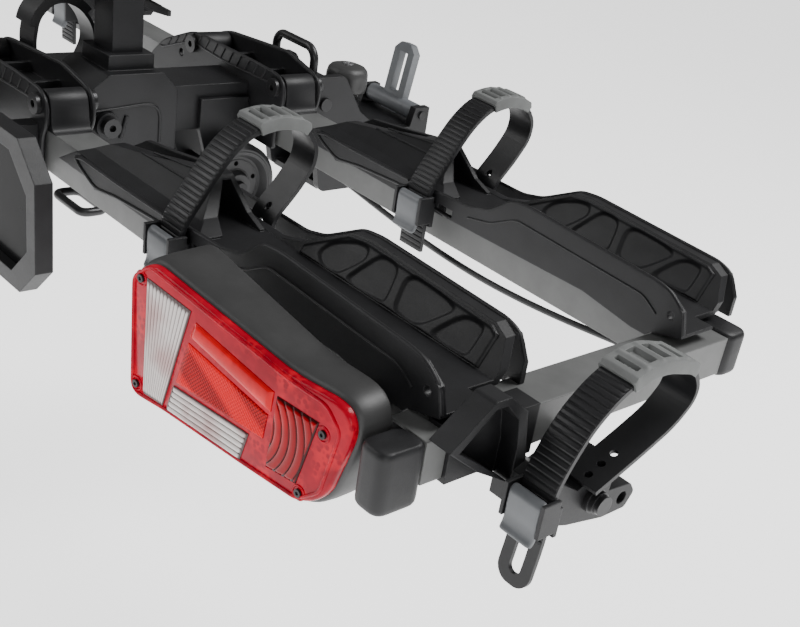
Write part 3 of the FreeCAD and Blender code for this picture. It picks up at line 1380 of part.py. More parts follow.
def wing_screws(outer_face):
    """All small screws of one wing."""
    items = []
    top = float(s.rail_top)
    for _, face in RAILS:
        rear = float(face)
        items.append(screw(Vector(strap_x + width / 2, rear + 53.4, top - 12), Vector(0, 1, 0), 5, 3, 2))
        for x_at in (float(s.beam_inner) - 150, float(s.beam_inner) - 40):
            items.append(screw(Vector(x_at, rear + 15, top + float(s.tray_seat) + float(s.tray_wall)), Vector(0, 0, 1), 5, 3, 2.2))
    for a, b in ((11, 10), (10, -63), (172, -15), (159, -61)):
        centre = lamp_base + along * a + Vector(0, 0, b)
        items.append(screw(centre, inwards * -1, 2.6, 1.6, 1.2))
    ring_face = outer_x + width / 2 + 2
    axis = Vector(1, 0, 0)
    bolt_y, bolt_z = float(outer_face) + 74, top - 50
    rings = [
        Part.makeCylinder(8.5 - step, 3.5, Vector(ring_face + 3.5 * step, bolt_y, bolt_z), axis) for step in range(
            3,
        )
    ]
    items.append(rings[0].fuse(rings[1:]).removeSplitter())
    return items


right_screws = wing_screws(near_face)
left_screws = wing_screws(shift_left)
shaped("right_fasteners", Part.makeCompound(right_screws))
mirrored("left_fasteners", shaped("fasteners_to_mirror", Part.makeCompound(left_screws)))

# Lamp lead clipped along the front underside of the far rail
lead_r = float(s.lead_radius)
lead_y = float(far_face) + float(s.rail_width) / 2
lead_z = float(rail_bottom) - lead_r - 0.3
lead_x0 = float(s.hinge_reach) + 34
lead_x1 = float(s.beam_inner) - 6
lead_points = [
    Vector(lead_x0, lead_y + 4, lead_z), Vector(lead_x0 + 60, lead_y - 3, lead_z - 1.5),
    Vector(lead_x0 + 120, lead_y - 9, lead_z - 5),
    Vector(lead_x0 + 180, lead_y - 12, lead_z - 8.5), Vector(lead_x0 + 240, lead_y - 13, lead_z - 10),
    Vector(lead_x0 + 300, lead_y - 11, lead_z - 8),
    Vector(lead_x0 + 358, lead_y - 6, lead_z - 4), Vector(lead_x1, lead_y + 1, lead_z),
]


def tube_along(points, radius, share=0.45):
    """Round tube along straight runs joined by tangent arcs."""
    edges = []
    radii = []
    last = points[0]
    for before, corner, after in zip(points, points[1:], points[2:]):
        into = corner - before
        away = after - corner
        reach = share * min(into.Length, away.Length)
        into.normalize()
        away.normalize()
        turned = into.getAngle(away)
        bend_radius = reach / math.tan(turned / 2)
        radii.append(round(bend_radius, 1))
        first = corner - into * reach
        second = corner + away * reach
        inner = (away - into).normalize()
        rise = bend_radius / math.cos(turned / 2) - bend_radius
        edges.append(Part.LineSegment(last, first).toShape())
        edges.append(Part.Arc(first, corner + inner * rise, second).toShape())
        last = second
    edges.append(Part.LineSegment(last, points[-1]).toShape())
    path = Part.Wire(edges)
    run = (points[1] - points[0]).normalize()
    section = Part.Wire([Part.Circle(points[0], run, radius).toShape()])
    solid = path.makePipeShell([section], True, False)
    print("cord radii", radii, "length", round(path.Length, 1))
    print("cord volume ratio", round(solid.Volume / (math.pi * radius * radius * path.Length), 5))
    return solid


shaped("lamp_lead", tube_along(lead_points, lead_r))

# Short tie strap with its pad, standing beside the mast on the mast bracket's left
TIE = ((43, 16), (40, 34), (44, 56), (56, 68), (68, 70), (82, 64), (93, 50), (96, 32), (88, 16))
tie_left = -float(bracket_x) - width - 0.3
tie_band = ribbon(path_from(TIE, near_face), thick, tie_left, width)
tie_pad = ribbon(
    path_from(TIE, near_face), pad_thick, tie_left, width, thick / 2 + pad_thick / 2 - 0.1, (2, 5),
)
tie_foot = Part.makeBox(
    width, 58, 7, Vector(tie_left, float(near_face) + 38.5, float(s.rail_top) + 12),
)
shaped("tie_strap", tie_band.fuse([tie_pad, tie_foot]).removeSplitter())

# Frame arms on the mast with their claws


def frame_arm(name, level, reach, side):
    """Collar round the mast, a tube towards the bike and the fixed half of its claw."""
    base = s.rail_top + level
    gap = s.arm_fit
    wall = s.collar_wall
    collar_body = block(
        f"{name}_collar", -s.mast_width / 2 - gap - wall, s.mast_width / 2 + gap + wall,
        s.mast_rear - gap - wall, mast_front + gap + wall, base, base + s.collar_height,
    )
    collar_way = block(
        f"{name}_collar_way", -s.mast_width / 2 - gap, s.mast_width / 2 + gap, s.mast_rear - gap,
        mast_front + gap,
        base - 1, base + s.collar_height + 1,
    )
    middle = base + s.collar_height / 2
    if side < 0:
        tube_start = s.mast_rear - gap - wall - reach
        tube_run = reach + 2
        claw_y = tube_start - s.claw_bore - s.claw_wall + 2
    else:
        tube_start = mast_front + gap + wall - 2
        tube_run = reach + 2
        claw_y = mast_front + gap + wall + reach + s.claw_bore + s.claw_wall - 2
    tube = rod(f"{name}_tube", "y", tube_start, tube_run, 0, middle, s.arm_radius)
    claw_outer = rod(
        f"{name}_claw_outer", "x", -s.claw_width / 2, s.claw_width, claw_y, middle,
        s.claw_bore + s.claw_wall,
    )
    claw_inner = rod(
        f"{name}_claw_inner", "x", -s.claw_width / 2 - 1, s.claw_width + 2, claw_y, middle, s.claw_bore,
    )
    claw_half = block(f"{name}_claw_half", -40, 40, claw_y - 60, claw_y + 60, middle - 60, middle - 1)
    ring = cut(f"{name}_claw_ring", claw_outer, claw_inner)
    fixed = common(f"{name}_claw_fixed", ring, claw_half)
    body = fuse(f"{name}_body", cut(f"{name}_collar_ring", collar_body, collar_way), tube, fixed)
    return body, ring, claw_y, middle


def finish_arm(name, level, reach, side):
    """Arm, its swinging jaw and its clamp knob."""
    body, ring, claw_y, middle = frame_arm(name, level, reach, side)
    upper_half = block(f"{name}_upper_half", -40, 40, claw_y - 60, claw_y + 60, middle + 0.3, middle + 60)
    upper = common(f"{name}_upper", ring, upper_half)
    pin_y = claw_y - side * (s.claw_bore + s.claw_wall + 3)
    eye = rod(f"{name}_jaw_eye", "x", -5, 10, pin_y, middle + 17.5, 5)
    link = block(
        f"{name}_jaw_link", -5, 5, pin_y if side > 0 else pin_y - 13, pin_y + 13 if side > 0 else pin_y,
        middle + 14.5, middle + 20.5,
    )
    jaw_bore = rod(f"{name}_jaw_bore", "x", -30, 60, pin_y, middle + 17.5, 2 + s.running_fit)
    claw_space = rod(f"{name}_claw_space", "x", -40, 80, claw_y, middle, s.claw_bore)
    cut(name.replace("arm", "jaw"), fuse(f"{name}_jaw_body", upper, eye, link), jaw_bore, claw_space)
    cheeks = []
    for index, low in enumerate((as_term(-11), as_term(5.4))):
        near_y = pin_y - 6 if side > 0 else pin_y - 2.6
        cheek = block(f"{name}_cheek{index}", low, low + 5.6, near_y, near_y + 8.6, middle, middle + 24)
        cheeks.append(cheek)
    pin = rod(f"{name}_pin", "x", -11, 22, pin_y, middle + 17.5, 2)
    ring_reach = s.claw_bore + s.claw_wall + 0.4
    ring_round = rod(f"{name}_ring_round", "x", -40, 80, claw_y, middle, ring_reach)
    above = block(f"{name}_above", -40, 40, claw_y - 60, claw_y + 60, middle, middle + 60)
    ring_space = common(f"{name}_ring_space", ring_round, above)
    return cut(name, fuse(f"{name}_whole", body, *cheeks, pin), claw_space, ring_space)


finish_arm("near_arm", s.near_arm_level, s.near_arm_reach, -1)
finish_arm("far_arm", s.far_arm_level, s.far_arm_reach, 1)


def arm_knob(name, level, side):
    """Clamp knob on the collar's far side."""
    middle = s.rail_top + level + s.collar_height / 2
    face = mast_front + s.arm_fit + s.collar_wall if side > 0 else s.mast_rear - s.arm_fit - s.collar_wall - 26
    grip = rod(f"{name}_grip", "y", face + 6 if side > 0 else face, 20, 0, middle, 17)
    neck_part = rod(f"{name}_neck", "y", face + 0.3 if side > 0 else face + 19.7, 6, 0, middle, 7)
    knob_body = fuse(f"{name}_body", grip, neck_part)
    notches = []
    for index in range(6):
        angle = math.radians(60 * index)
        notches.append(rod(
            f"{name}_notch{index}", "y", face - 1, 30, as_term(20.5 * math.cos(angle)),
            middle + 20.5 * math.sin(angle), 5,
        ))
    return cut(name, knob_body, *notches)


arm_knob("near_arm_knob", s.near_arm_level, 1)
arm_knob("far_arm_knob", s.far_arm_level, -1)

NODES = (
    "center_beam", "near_moulding", "far_moulding", "mast_bracket", "mast_tube", "mast_cap",
    "center_fasteners",
    "plate_frame", "plate_panel", "wheel_axle", "right_transport_wheel", "left_transport_wheel",
    "foot_pedal",
    "pedal_hanger", "coupling_housing", "coupling_cup", "ball_jaw", "coupling_lever", "clamp_knob", "lock_barrel",
    "coupling_pins",
    "bail_handle", "tie_strap", "near_arm", "near_jaw", "far_arm", "far_jaw", "near_arm_knob",
    "far_arm_knob",
    "lamp_lead", "right_rails", "left_rails", "right_crossbeam", "left_crossbeam", "right_crossbeam_caps",
    "left_crossbeam_caps", "right_near_tray", "left_near_tray", "right_far_tray", "left_far_tray",
    "right_lamp_housing", "left_lamp_housing", "right_lamp_lens", "left_lamp_lens", "right_wheel_holder",
    "left_wheel_holder", "right_straps", "left_straps", "right_strap_pads", "left_strap_pads",
    "right_strap_buckles", "left_strap_buckles", "right_near_buckle_lever", "left_near_buckle_lever",
    "right_far_buckle_lever", "left_far_buckle_lever", "right_outer_buckle_lever",
    "left_outer_buckle_lever",
    "right_fasteners", "left_fasteners",
)

doc.recompute()
for item in doc.Objects:
    if "Invalid" in item.State or "Error" in item.State:
        raise RuntimeError(f"{item.Name} failed: {item.State}")
for node in NODES:
    piece = doc.getObject(node)
    piece.Label = node
    if piece.Shape.isNull() or not piece.Shape.isValid() or not piece.Shape.Solids:
        raise RuntimeError(f"{node} has no valid solid")
os.makedirs("parts", exist_ok=True)
for node in NODES:
    doc.getObject(node).Shape.exportStep(f"parts/{node}.step")
print(len(NODES), "nodes written")
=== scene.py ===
"""Folding bike rack for a tow ball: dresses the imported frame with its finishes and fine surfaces."""

from __future__ import annotations

import logging
import math
from dataclasses import dataclass
from enum import Enum

import bmesh
import bpy
import numpy as np
from mathutils import Matrix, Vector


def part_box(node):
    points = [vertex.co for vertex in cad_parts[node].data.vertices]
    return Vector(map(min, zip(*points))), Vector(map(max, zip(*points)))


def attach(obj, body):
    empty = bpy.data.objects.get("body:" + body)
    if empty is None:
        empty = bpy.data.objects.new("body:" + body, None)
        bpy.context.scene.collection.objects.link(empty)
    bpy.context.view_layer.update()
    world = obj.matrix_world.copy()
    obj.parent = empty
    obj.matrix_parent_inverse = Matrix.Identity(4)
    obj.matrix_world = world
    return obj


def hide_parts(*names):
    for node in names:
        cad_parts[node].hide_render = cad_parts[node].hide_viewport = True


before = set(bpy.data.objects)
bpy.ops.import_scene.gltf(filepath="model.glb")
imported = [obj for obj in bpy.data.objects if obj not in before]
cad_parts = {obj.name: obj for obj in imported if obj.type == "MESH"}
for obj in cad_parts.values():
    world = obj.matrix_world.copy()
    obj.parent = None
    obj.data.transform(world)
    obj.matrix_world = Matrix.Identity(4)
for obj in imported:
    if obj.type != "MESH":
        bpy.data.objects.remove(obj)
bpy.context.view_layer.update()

LOG = logging.getLogger("rack")

# Places and lengths are in millimetres of the rack's frame, unless a docstring says metres.
MM = 0.001
RAIL_TOP = 75.0
NEAR_FACE = -385.0
RAIL_PITCH = 220.0
FAR_FACE = NEAR_FACE + RAIL_PITCH
FAR_HOLDER_SHIFT = 165.0
INNER_STRAP_LEFT = 268.0
OUTER_STRAP_LEFT = 578.0

# Points on one rounded corner of a line, on one arc of a bent strap, and round a full circle.
CURVE_STEPS = 7
ARC_STEPS = 24
CIRCLE_STEPS = 64

# Points nearer than this, in metres, become one.
MERGE_DISTANCE = 1e-6

# Samples of the shading that rounds sharp edges, and the sockets of a colour mix by their number.
BEVEL_SAMPLES = 4
MIX_FACTOR = 0
MIX_FIRST = 6
MIX_SECOND = 7
MIX_RESULT = 2


class Side(Enum):
    """A wing of the rack; the value is the sign of its X."""

    RIGHT = 1
    LEFT = -1

    @property
    def word(self) -> str:
        """Name of the wing in node names."""
        return self.name.lower()

    @property
    def body(self) -> str:
        """Body that the wing's pieces ride on."""
        return f"{self.word}_wing"

    @property
    def holder_shift(self) -> float:
        """How far the outer wheel holder sits in front of its place at the near rail."""
        return 0.0 if self is Side.RIGHT else FAR_HOLDER_SHIFT

    @property
    def mirror(self) -> np.ndarray:
        """Factors on X, Y and Z that carry a shape drawn for the right wing to this one."""
        return np.array([self.value, 1.0, 1.0])


class Value:
    """A number that varies over a surface. Operators on it add Math nodes to its graph."""

    def __init__(self, graph: "Graph", socket: bpy.types.NodeSocket) -> None:
        """Wrap an output socket.

        Args:
            graph: the material's graph.
            socket: the output that gives the number or vector.
        """
        self.graph = graph
        self.socket = socket

    def _math(self, operation: str, first: "Value | float", second: "Value | float" = 0.0) -> "Value":
        """One Math node on two inputs."""
        return self.graph.node("ShaderNodeMath", {"operation": operation}, {0: first, 1: second})

    def __add__(self, other: "Value | float") -> "Value":
        """Sum."""
        return self._math("ADD", self, other)

    def __radd__(self, other: float) -> "Value":
        """Sum, number first."""
        return self._math("ADD", other, self)

    def __sub__(self, other: "Value | float") -> "Value":
        """Difference."""
        return self._math("SUBTRACT", self, other)

    def __rsub__(self, other: float) -> "Value":
        """Difference, number first."""
        return self._math("SUBTRACT", other, self)

    def __mul__(self, other: "Value | float") -> "Value":
        """Product."""
        return self._math("MULTIPLY", self, other)

    def __rmul__(self, other: float) -> "Value":
        """Product, number first."""
        return self._math("MULTIPLY", other, self)

    def wave(self) -> "Value":
        """Sine."""
        return self._math("SINE", self)


class Graph:
    """The node graph of one material, with its Principled shader."""

    def __init__(self, name: str) -> None:
        """Make an empty material of that name.

        Args:
            name: the material's name.
        """
        self.material = bpy.data.materials.new(name)
        self.material.use_nodes = True
        self.tree = self.material.node_tree
        self.shader = self.tree.nodes["Principled BSDF"]
        self._coords: Value | None = None

    def node(
        self, kind: str, settings: dict | None = None, inputs: dict | None = None, output: int | str = 0,
    ) -> Value:
        """Add one node.

        Args:
            kind: the node's type name.
            settings: attributes, set first; "stops" gives a ramp's stops as (place, colour).
            inputs: socket name or number to a Value, a number or a tuple.
            output: which output the result wraps.

        Returns:
            The node's output as a Value.
        """
        made = self.tree.nodes.new(kind)
        for key, setting in (settings or {}).items():
            if key == "stops":
                ramp = made.color_ramp.elements
                while len(ramp) < len(setting):
                    ramp.new(0.5)
                for stop, (place, colour) in zip(ramp, setting):
                    stop.position = place
                    stop.color = (*colour, 1.0)
            else:
                setattr(made, key, setting)
        for key, given in (inputs or {}).items():
            if isinstance(given, Value):
                self.tree.links.new(given.socket, made.inputs[key])
            else:
                made.inputs[key].default_value = given
        return Value(self, made.outputs[output])

    def constants(self, **named: float | tuple) -> None:
        """Set the shader's own sockets; underscores stand for spaces."""
        for key, given in named.items():
            self.shader.inputs[key.replace("_", " ")].default_value = given

    def drive(self, socket: str, value: Value) -> None:
        """Link a value to a socket of the shader."""
        self.tree.links.new(value.socket, self.shader.inputs[socket])

    def coords(self) -> Value:
        """Object coordinates, from one node.

        Returns:
            The place on the object, in metres of the rack's frame.
        """
        if self._coords is None:
            self._coords = self.node("ShaderNodeTexCoord", output="Object")
        return self._coords

    def axis(self, letter: str) -> Value:
        """One of the object coordinates."""
        return self.node("ShaderNodeSeparateXYZ", inputs={0: self.coords()}, output="XYZ".index(letter))

    def noise(
        self, scale: float, detail: float = 2.0, rough: float = 0.5, stretch: tuple | None = None,
    ) -> Value:
        """Cloudy noise between 0 and 1.

        Args:
            scale: waves in a metre.
            detail: number of finer layers.
            rough: weight of each layer against the one before.
            stretch: factors on the three coordinates; one below 1 draws the clouds out along its axis.

        Returns:
            The noise.
        """
        place = self.coords()
        if stretch is not None:
            scaled = {"Vector": place, "Scale": stretch}
            place = self.node("ShaderNodeMapping", {"vector_type": "POINT"}, scaled)
        return self.node(
            "ShaderNodeTexNoise", {"noise_dimensions": "3D"},
            {"Vector": place, "Scale": scale, "Detail": detail, "Roughness": rough},
        )

    def attribute(self, name: str) -> Value:
        """Number kept on the mesh's points under that name."""
        return self.node("ShaderNodeAttribute", {"attribute_name": name}, output="Fac")

    def cells(self, scale: float) -> Value:
        """Distance to the middle of the nearest random cell, with scale in cells a metre."""
        return self.node("ShaderNodeTexVoronoi", {"feature": "F1"}, {"Vector": self.coords(), "Scale": scale})

    def step(self, value: Value, low: float, high: float) -> Value:
        """Smooth step of a value.

        Args:
            value: the value.
            low: where the step leaves 0.
            high: where it reaches 1.

        Returns:
            The step, from 0 to 1.
        """
        return self.node(
            "ShaderNodeMapRange", {"interpolation_type": "SMOOTHSTEP"},
            {"Value": value, "From Min": low, "From Max": high},
        )

    def blend(self, factor: Value | float, first: tuple | Value, second: tuple | Value) -> Value:
        """Colour between two colours.

        Args:
            factor: 0 for the first colour and 1 for the second.
            first: a colour of three channels, or a Value that carries a colour.
            second: the other colour, given in the same way.

        Returns:
            The mixed colour.
        """
        start, stop = ((*colour, 1.0) if isinstance(colour, tuple) else colour for colour in (first, second))
        inputs = {MIX_FACTOR: factor, MIX_FIRST: start, MIX_SECOND: stop}
        return self.node("ShaderNodeMix", {"data_type": "RGBA"}, inputs, MIX_RESULT)

    def edges(self, radius: float) -> Value:
        """Mask of the sharp edges, from how far the rounded normal turns from the face's own.

        Args:
            radius: how wide an edge counts, in metres.

        Returns:
            1 on sharp edges and 0 on flats.
        """
        rounded_normal = self.node("ShaderNodeBevel", {"samples": BEVEL_SAMPLES}, {"Radius": radius})
        plain = self.node("ShaderNodeNewGeometry", output="Normal")
        agree = self.node(
            "ShaderNodeVectorMath", {"operation": "DOT_PRODUCT"}, {0: rounded_normal, 1: plain}, "Value",
        )
        return self.step(1.0 - agree, 0.02, 0.2)

    def relief(self, height: Value, distance: float, radius: float) -> None:
        """Bump the shader over edges that are shaded round.

        Args:
            height: height between 0 and 1.
            distance: what a height of 1 stands for, in metres.
            radius: radius of the edges, in metres.
        """
        soft = self.node("ShaderNodeBevel", {"samples": BEVEL_SAMPLES}, {"Radius": radius})
        inputs = {"Height": height, "Distance": distance, "Strength": 1.0, "Normal": soft}
        self.drive("Normal", self.node("ShaderNodeBump", inputs=inputs))


@dataclass(frozen=True)
class Finish:
    """A moulded or painted surface: base tone, mottling, grain and paler edges, partly a painted highlight and
    partly worn.

    Attributes:
        name: the material's name.
        colour: base tone.
        roughness: mean roughness.
        mottle: how far the clouds darken and lighten the tone, as a share of it.
        grain: waves of the grain in a metre.
        depth: height of the grain, in metres.
        edge: radius that sharp edges are shaded round by, in metres.
        rub: how much of the paler tone an edge takes, partly as a painted highlight and partly as worn paint.
        metallic: share of bare metal.
        coat: weight of the clear coat.
        specular: level of the reflection; 0.5 is plain plastic.
        painted_glow: strength of the painted light that a lens gives off in its own tone, standing in for the
            light it gives back.
    """

    name: str
    colour: tuple[float, float, float]
    roughness: float = 0.5
    mottle: float = 0.25
    grain: float = 1400.0
    depth: float = 0.00004
    edge: float = 0.0006
    rub: float = 0.35
    metallic: float = 0.0
    coat: float = 0.0
    specular: float = 0.5
    painted_glow: float = 0.0

    def shade(self, factor: float, lift: float = 0.0) -> tuple[float, ...]:
        """The base tone times a factor plus a lift, with no channel over 1."""
        return tuple(min(1.0, channel * factor + lift) for channel in self.colour)

    def tone(self, graph: Graph) -> Value:
        """Colour over the surface: base tone, cloudy mottling and paler edges, partly a painted highlight and
        partly worn.

        Args:
            graph: the material's graph.

        Returns:
            The colour.
        """
        cloud = graph.step(graph.noise(38.0, detail=4.0, rough=0.6), 0.3, 0.7)
        base = graph.blend(cloud, self.shade(1.0 - self.mottle), self.shade(1.0 + self.mottle))
        # Paler edges, partly a painted highlight and partly worn paint, broken into patches by noise.
        edge_patches = graph.step(graph.noise(160.0, detail=3.0, rough=0.6), 0.35, 0.65)
        edge_highlight_and_wear = graph.edges(self.edge * 1.6) * edge_patches * self.rub
        return graph.blend(edge_highlight_and_wear, base, self.shade(2.1, 0.02))

    def shine(self, graph: Graph) -> Value:
        """Roughness over the surface: upright smears and fine speckle about the mean roughness.

        Args:
            graph: the material's graph.

        Returns:
            The roughness.
        """
        smear = graph.noise(22.0, detail=5.0, rough=0.65, stretch=(1.0, 1.0, 3.0))
        speck = graph.noise(self.grain * 0.5, detail=1.0)
        return smear * 0.16 + speck * 0.08 + (self.roughness - 0.12)

    def bumps(self, graph: Graph) -> Value:
        """Height of the grain: fine noise on a slower wave."""
        return graph.noise(self.grain, detail=3.0, rough=0.6) * 0.7 + graph.noise(self.grain * 0.16) * 0.3

    def make(self) -> bpy.types.Material:
        """Build the material.

        Returns:
            The finished material.
        """
        graph = Graph(self.name)
        graph.constants(
            Metallic=self.metallic, Coat_Weight=self.coat, Coat_Roughness=0.08,
            Specular_IOR_Level=self.specular,
        )
        tone = self.tone(graph)
        graph.drive("Base Color", tone)
        # Painted light: the lens gives off its own colour, its painted glints and shade included.
        if self.painted_glow > 0:
            graph.constants(Emission_Strength=self.painted_glow)
            graph.drive("Emission Color", tone)
        graph.drive("Roughness", self.shine(graph))
        graph.relief(self.bumps(graph), self.depth, self.edge)
        return graph.material


@dataclass(frozen=True)
class LeatherGrain(Finish):
    """Moulded plastic with the small cells of a spark-eroded mould."""

    def bumps(self, graph: Graph) -> Value:
        """Height of the grain: rounded cells with fine noise."""
        return graph.cells(self.grain * 0.8) * 0.6 + graph.noise(self.grain * 1.6) * 0.4


@dataclass(frozen=True)
class Plated(Finish):
    """Zinc plated steel with fine scratches."""

    def bumps(self, graph: Graph) -> Value:
        """Height of the scratches: noise drawn out along X."""
        return graph.noise(self.grain, detail=3.0, rough=0.7, stretch=(0.08, 1.0, 1.0))


@dataclass(frozen=True)
class Lens(Finish):
    """Clear coloured lens over facets: light and dark glints under a gloss coat.

    Attributes:
        glint: colour where a facet or a ridge catches the light.
        facet: facets in a metre.
    """

    glint: tuple[float, float, float] = (1.0, 0.1, 0.1)
    facet: float = 260.0

    def tone(self, graph: Graph) -> Value:
        """Colour over the lens: deep body, glints where the facets catch the light.

        Args:
            graph: the material's graph.

        Returns:
            The colour.
        """
        cloud = graph.step(graph.noise(28.0, detail=3.0, rough=0.6), 0.3, 0.7)
        body = graph.blend(cloud, self.shade(0.55), self.colour)
        spark = graph.step(graph.cells(self.facet), 0.28, 0.62) * graph.step(graph.noise(60.0), 0.4, 0.7)
        return graph.blend(spark * 0.5, body, self.glint)

    def shine(self, graph: Graph) -> Value:
        """Roughness over the lens: faint clouds about the mean roughness."""
        return graph.noise(90.0) * 0.06 + (self.roughness - 0.03)

    def bumps(self, graph: Graph) -> Value:
        """Height of the faint moulding waves."""
        return graph.noise(self.grain, detail=1.0)


@dataclass(frozen=True)
class RibbedLens(Lens):
    """Lens moulded in ribs: painted shade in its grooves and the painted glint colour on its ridges."""

    def tone(self, graph: Graph) -> Value:
        """Colour over the lens: painted glint colour on the ridges with a cast of the base tone in clouds, and
        painted shade in the grooves.

        Args:
            graph: the material's graph.

        Returns:
            The colour.
        """
        # Painted shade: the deeper a point lies in a groove, the nearer its colour comes to a tenth of the base
        # tone.
        groove = graph.step(graph.attribute("groove"), 0.22, 0.75)
        cast = graph.step(graph.noise(30.0), 0.42, 0.66)
        # Painted highlight: the ridges take the glint colour.
        ridge = graph.blend(cast * 0.55, self.glint, self.colour)
        return graph.blend(groove * 0.95, ridge, self.shade(0.12))


@dataclass(frozen=True)
class Reflex(Lens):
    """Reflector of many small pyramids.

    Attributes:
        pyramids: phase of the rows of pyramids, in radians a metre.
    """

    pyramids: float = 2400.0

    def tone(self, graph: Graph) -> Value:
        """Colour over the reflector: painted glints in rows of dots over broad slanting bands of painted light
        and shade.

        Args:
            graph: the material's graph.

        Returns:
            The colour.
        """
        # Painted light and shade: broad slanting bands, down to about a third of the base tone in the shaded
        # ones.
        painted_bands = (graph.axis("X") * 90.0 + graph.axis("Z") * 150.0).wave()
        rows = (graph.axis("Z") * self.pyramids).wave() * (graph.axis("X") * self.pyramids).wave()
        body = graph.blend(graph.step(painted_bands, -0.4, 0.6), self.shade(0.35), self.colour)
        # Painted glints: rows of dots that take the glint colour.
        return graph.blend(graph.step(rows, -0.1, 0.6) * 0.45, body, self.glint)


BLACK_PAINT = Finish(
    "black_powder_coat", (0.008, 0.008, 0.009), roughness=0.46, mottle=0.2, grain=900.0, depth=0.00003,
    edge=0.0012, rub=0.3, specular=0.36,
)
GREY_PAINT = Finish(
    "grey_powder_coat", (0.12, 0.122, 0.12), roughness=0.44, mottle=0.1, grain=1100.0, depth=0.00002,
    edge=0.0014, rub=0.25,
)
BLACK_PLASTIC = LeatherGrain(
    "black_moulded_plastic", (0.008, 0.008, 0.009), grain=1300.0, depth=0.00005, edge=0.0011, rub=0.4,
    specular=0.4,
)
HOUSING_PLASTIC = LeatherGrain(
    "charcoal_lamp_plastic", (0.032, 0.032, 0.032), mottle=0.12, grain=1500.0, depth=0.00003, edge=0.0018,
    rub=0.3,
)
GREY_PLASTIC = Finish(
    "grey_moulded_plastic", (0.13, 0.137, 0.145), roughness=0.4, mottle=0.1, grain=1200.0, depth=0.00002,
    edge=0.0009, rub=0.3,
)
STRAP_PLASTIC = Finish(
    "black_strap_plastic", (0.009, 0.009, 0.01), roughness=0.42, mottle=0.2, grain=1000.0, depth=0.00003,
    edge=0.0005, specular=0.4,
)
PAD_RUBBER = LeatherGrain(
    "grey_pad_rubber", (0.15, 0.155, 0.152), roughness=0.62, mottle=0.12, grain=900.0, depth=0.00006,
    edge=0.0007, rub=0.3,
)
CABLE_RUBBER = Finish(
    "black_cable_rubber", (0.018, 0.018, 0.019), roughness=0.45, mottle=0.2, grain=1500.0, depth=0.00003,
    edge=0.0004, rub=0.1,
)
WHEEL_RUBBER = LeatherGrain(
    "black_wheel_plastic", (0.015, 0.015, 0.016), grain=1000.0, depth=0.00006, edge=0.001, rub=0.4,
)
GLOSS_BLACK = Finish(
    "gloss_black_panel", (0.004, 0.004, 0.0045), roughness=0.24, mottle=0.2, grain=200.0, depth=0.00001,
    edge=0.0008, rub=0.1, coat=0.04, specular=0.03,
)
BLACK_STEEL = Finish(
    "black_bolt_steel", (0.03, 0.03, 0.031), roughness=0.36, mottle=0.2, grain=1200.0, depth=0.00003,
    edge=0.0005, rub=0.6, metallic=0.6,
)
ZINC = Plated(
    "zinc_plated_steel", (0.42, 0.42, 0.43), roughness=0.34, mottle=0.12, grain=1500.0, depth=0.00002,
    edge=0.0004, rub=0.3, metallic=1.0,
)
# Lens finishes: their glint colours are painted highlights, and all but the clear ribs give off painted light
# of their own.
RED_LENS = Lens(
    "red_lens", (0.42, 0.0, 0.016), roughness=0.18, grain=300.0, depth=0.00002, edge=0.0014, coat=0.08,
    specular=0.12, painted_glow=0.2, glint=(0.75, 0.004, 0.02),
)
RED_BAR = Lens(
    "red_bar_lens", (0.62, 0.0, 0.006), roughness=0.16, grain=300.0, depth=0.00002, edge=0.0004, coat=0.1,
    specular=0.15, painted_glow=0.22, glint=(0.8, 0.002, 0.01),
)
RED_PRISM = RibbedLens(
    "red_prism_lens", (0.14, 0.0, 0.002), roughness=0.16, grain=300.0, depth=0.00003, edge=0.0003, coat=0.1,
    specular=0.15, painted_glow=0.12, glint=(0.42, 0.0, 0.006),
)
CLEAR_RIBS = RibbedLens(
    "clear_ribbed_lens", (0.36, 0.09, 0.085), roughness=0.16, grain=300.0, depth=0.00002, edge=0.0002,
    coat=0.2, specular=0.3, glint=(0.72, 0.66, 0.64),
)
REFLEX_RED = Reflex(
    "red_reflex_lens", (0.6, 0.0, 0.005), roughness=0.3, grain=900.0, depth=0.00005, edge=0.0004, coat=0.05,
    specular=0.08, painted_glow=0.22, glint=(0.85, 0.002, 0.008),
)

NODES_BY_FINISH = (
    (BLACK_PAINT, (
        "center_beam", "mast_bracket", "mast_tube", "wheel_axle", "pedal_hanger", "coupling_housing",
        "coupling_cup", "near_arm", "far_arm",
    )),
    (BLACK_PLASTIC, (
        "near_moulding", "far_moulding", "mast_cap", "plate_frame", "near_jaw", "far_jaw", "near_arm_knob",
        "far_arm_knob", "crossbeam_caps", "near_tray", "far_tray", "wheel_holder", "strap_buckles",
    )),
    (BLACK_STEEL, ("center_fasteners", "bail_handle", "foot_pedal", "coupling_pins", "fasteners")),
    (GREY_PLASTIC, ("coupling_lever", "near_buckle_lever", "far_buckle_lever", "outer_buckle_lever")),
    (HOUSING_PLASTIC, ("clamp_knob", "lamp_housing")),
    (STRAP_PLASTIC, ("tie_strap", "straps")),
    (GREY_PAINT, ("rails", "crossbeam")),
    (ZINC, ("ball_jaw", "lock_barrel")),
    (GLOSS_BLACK, ("plate_panel",)),
    (WHEEL_RUBBER, ("transport_wheel",)),
    (PAD_RUBBER, ("strap_pads",)),
    (CABLE_RUBBER, ("lamp_lead",)),
    (RED_LENS, ("lamp_lens",)),
)
NODE_FINISH = {node: finish for finish, nodes in NODES_BY_FINISH for node in nodes}


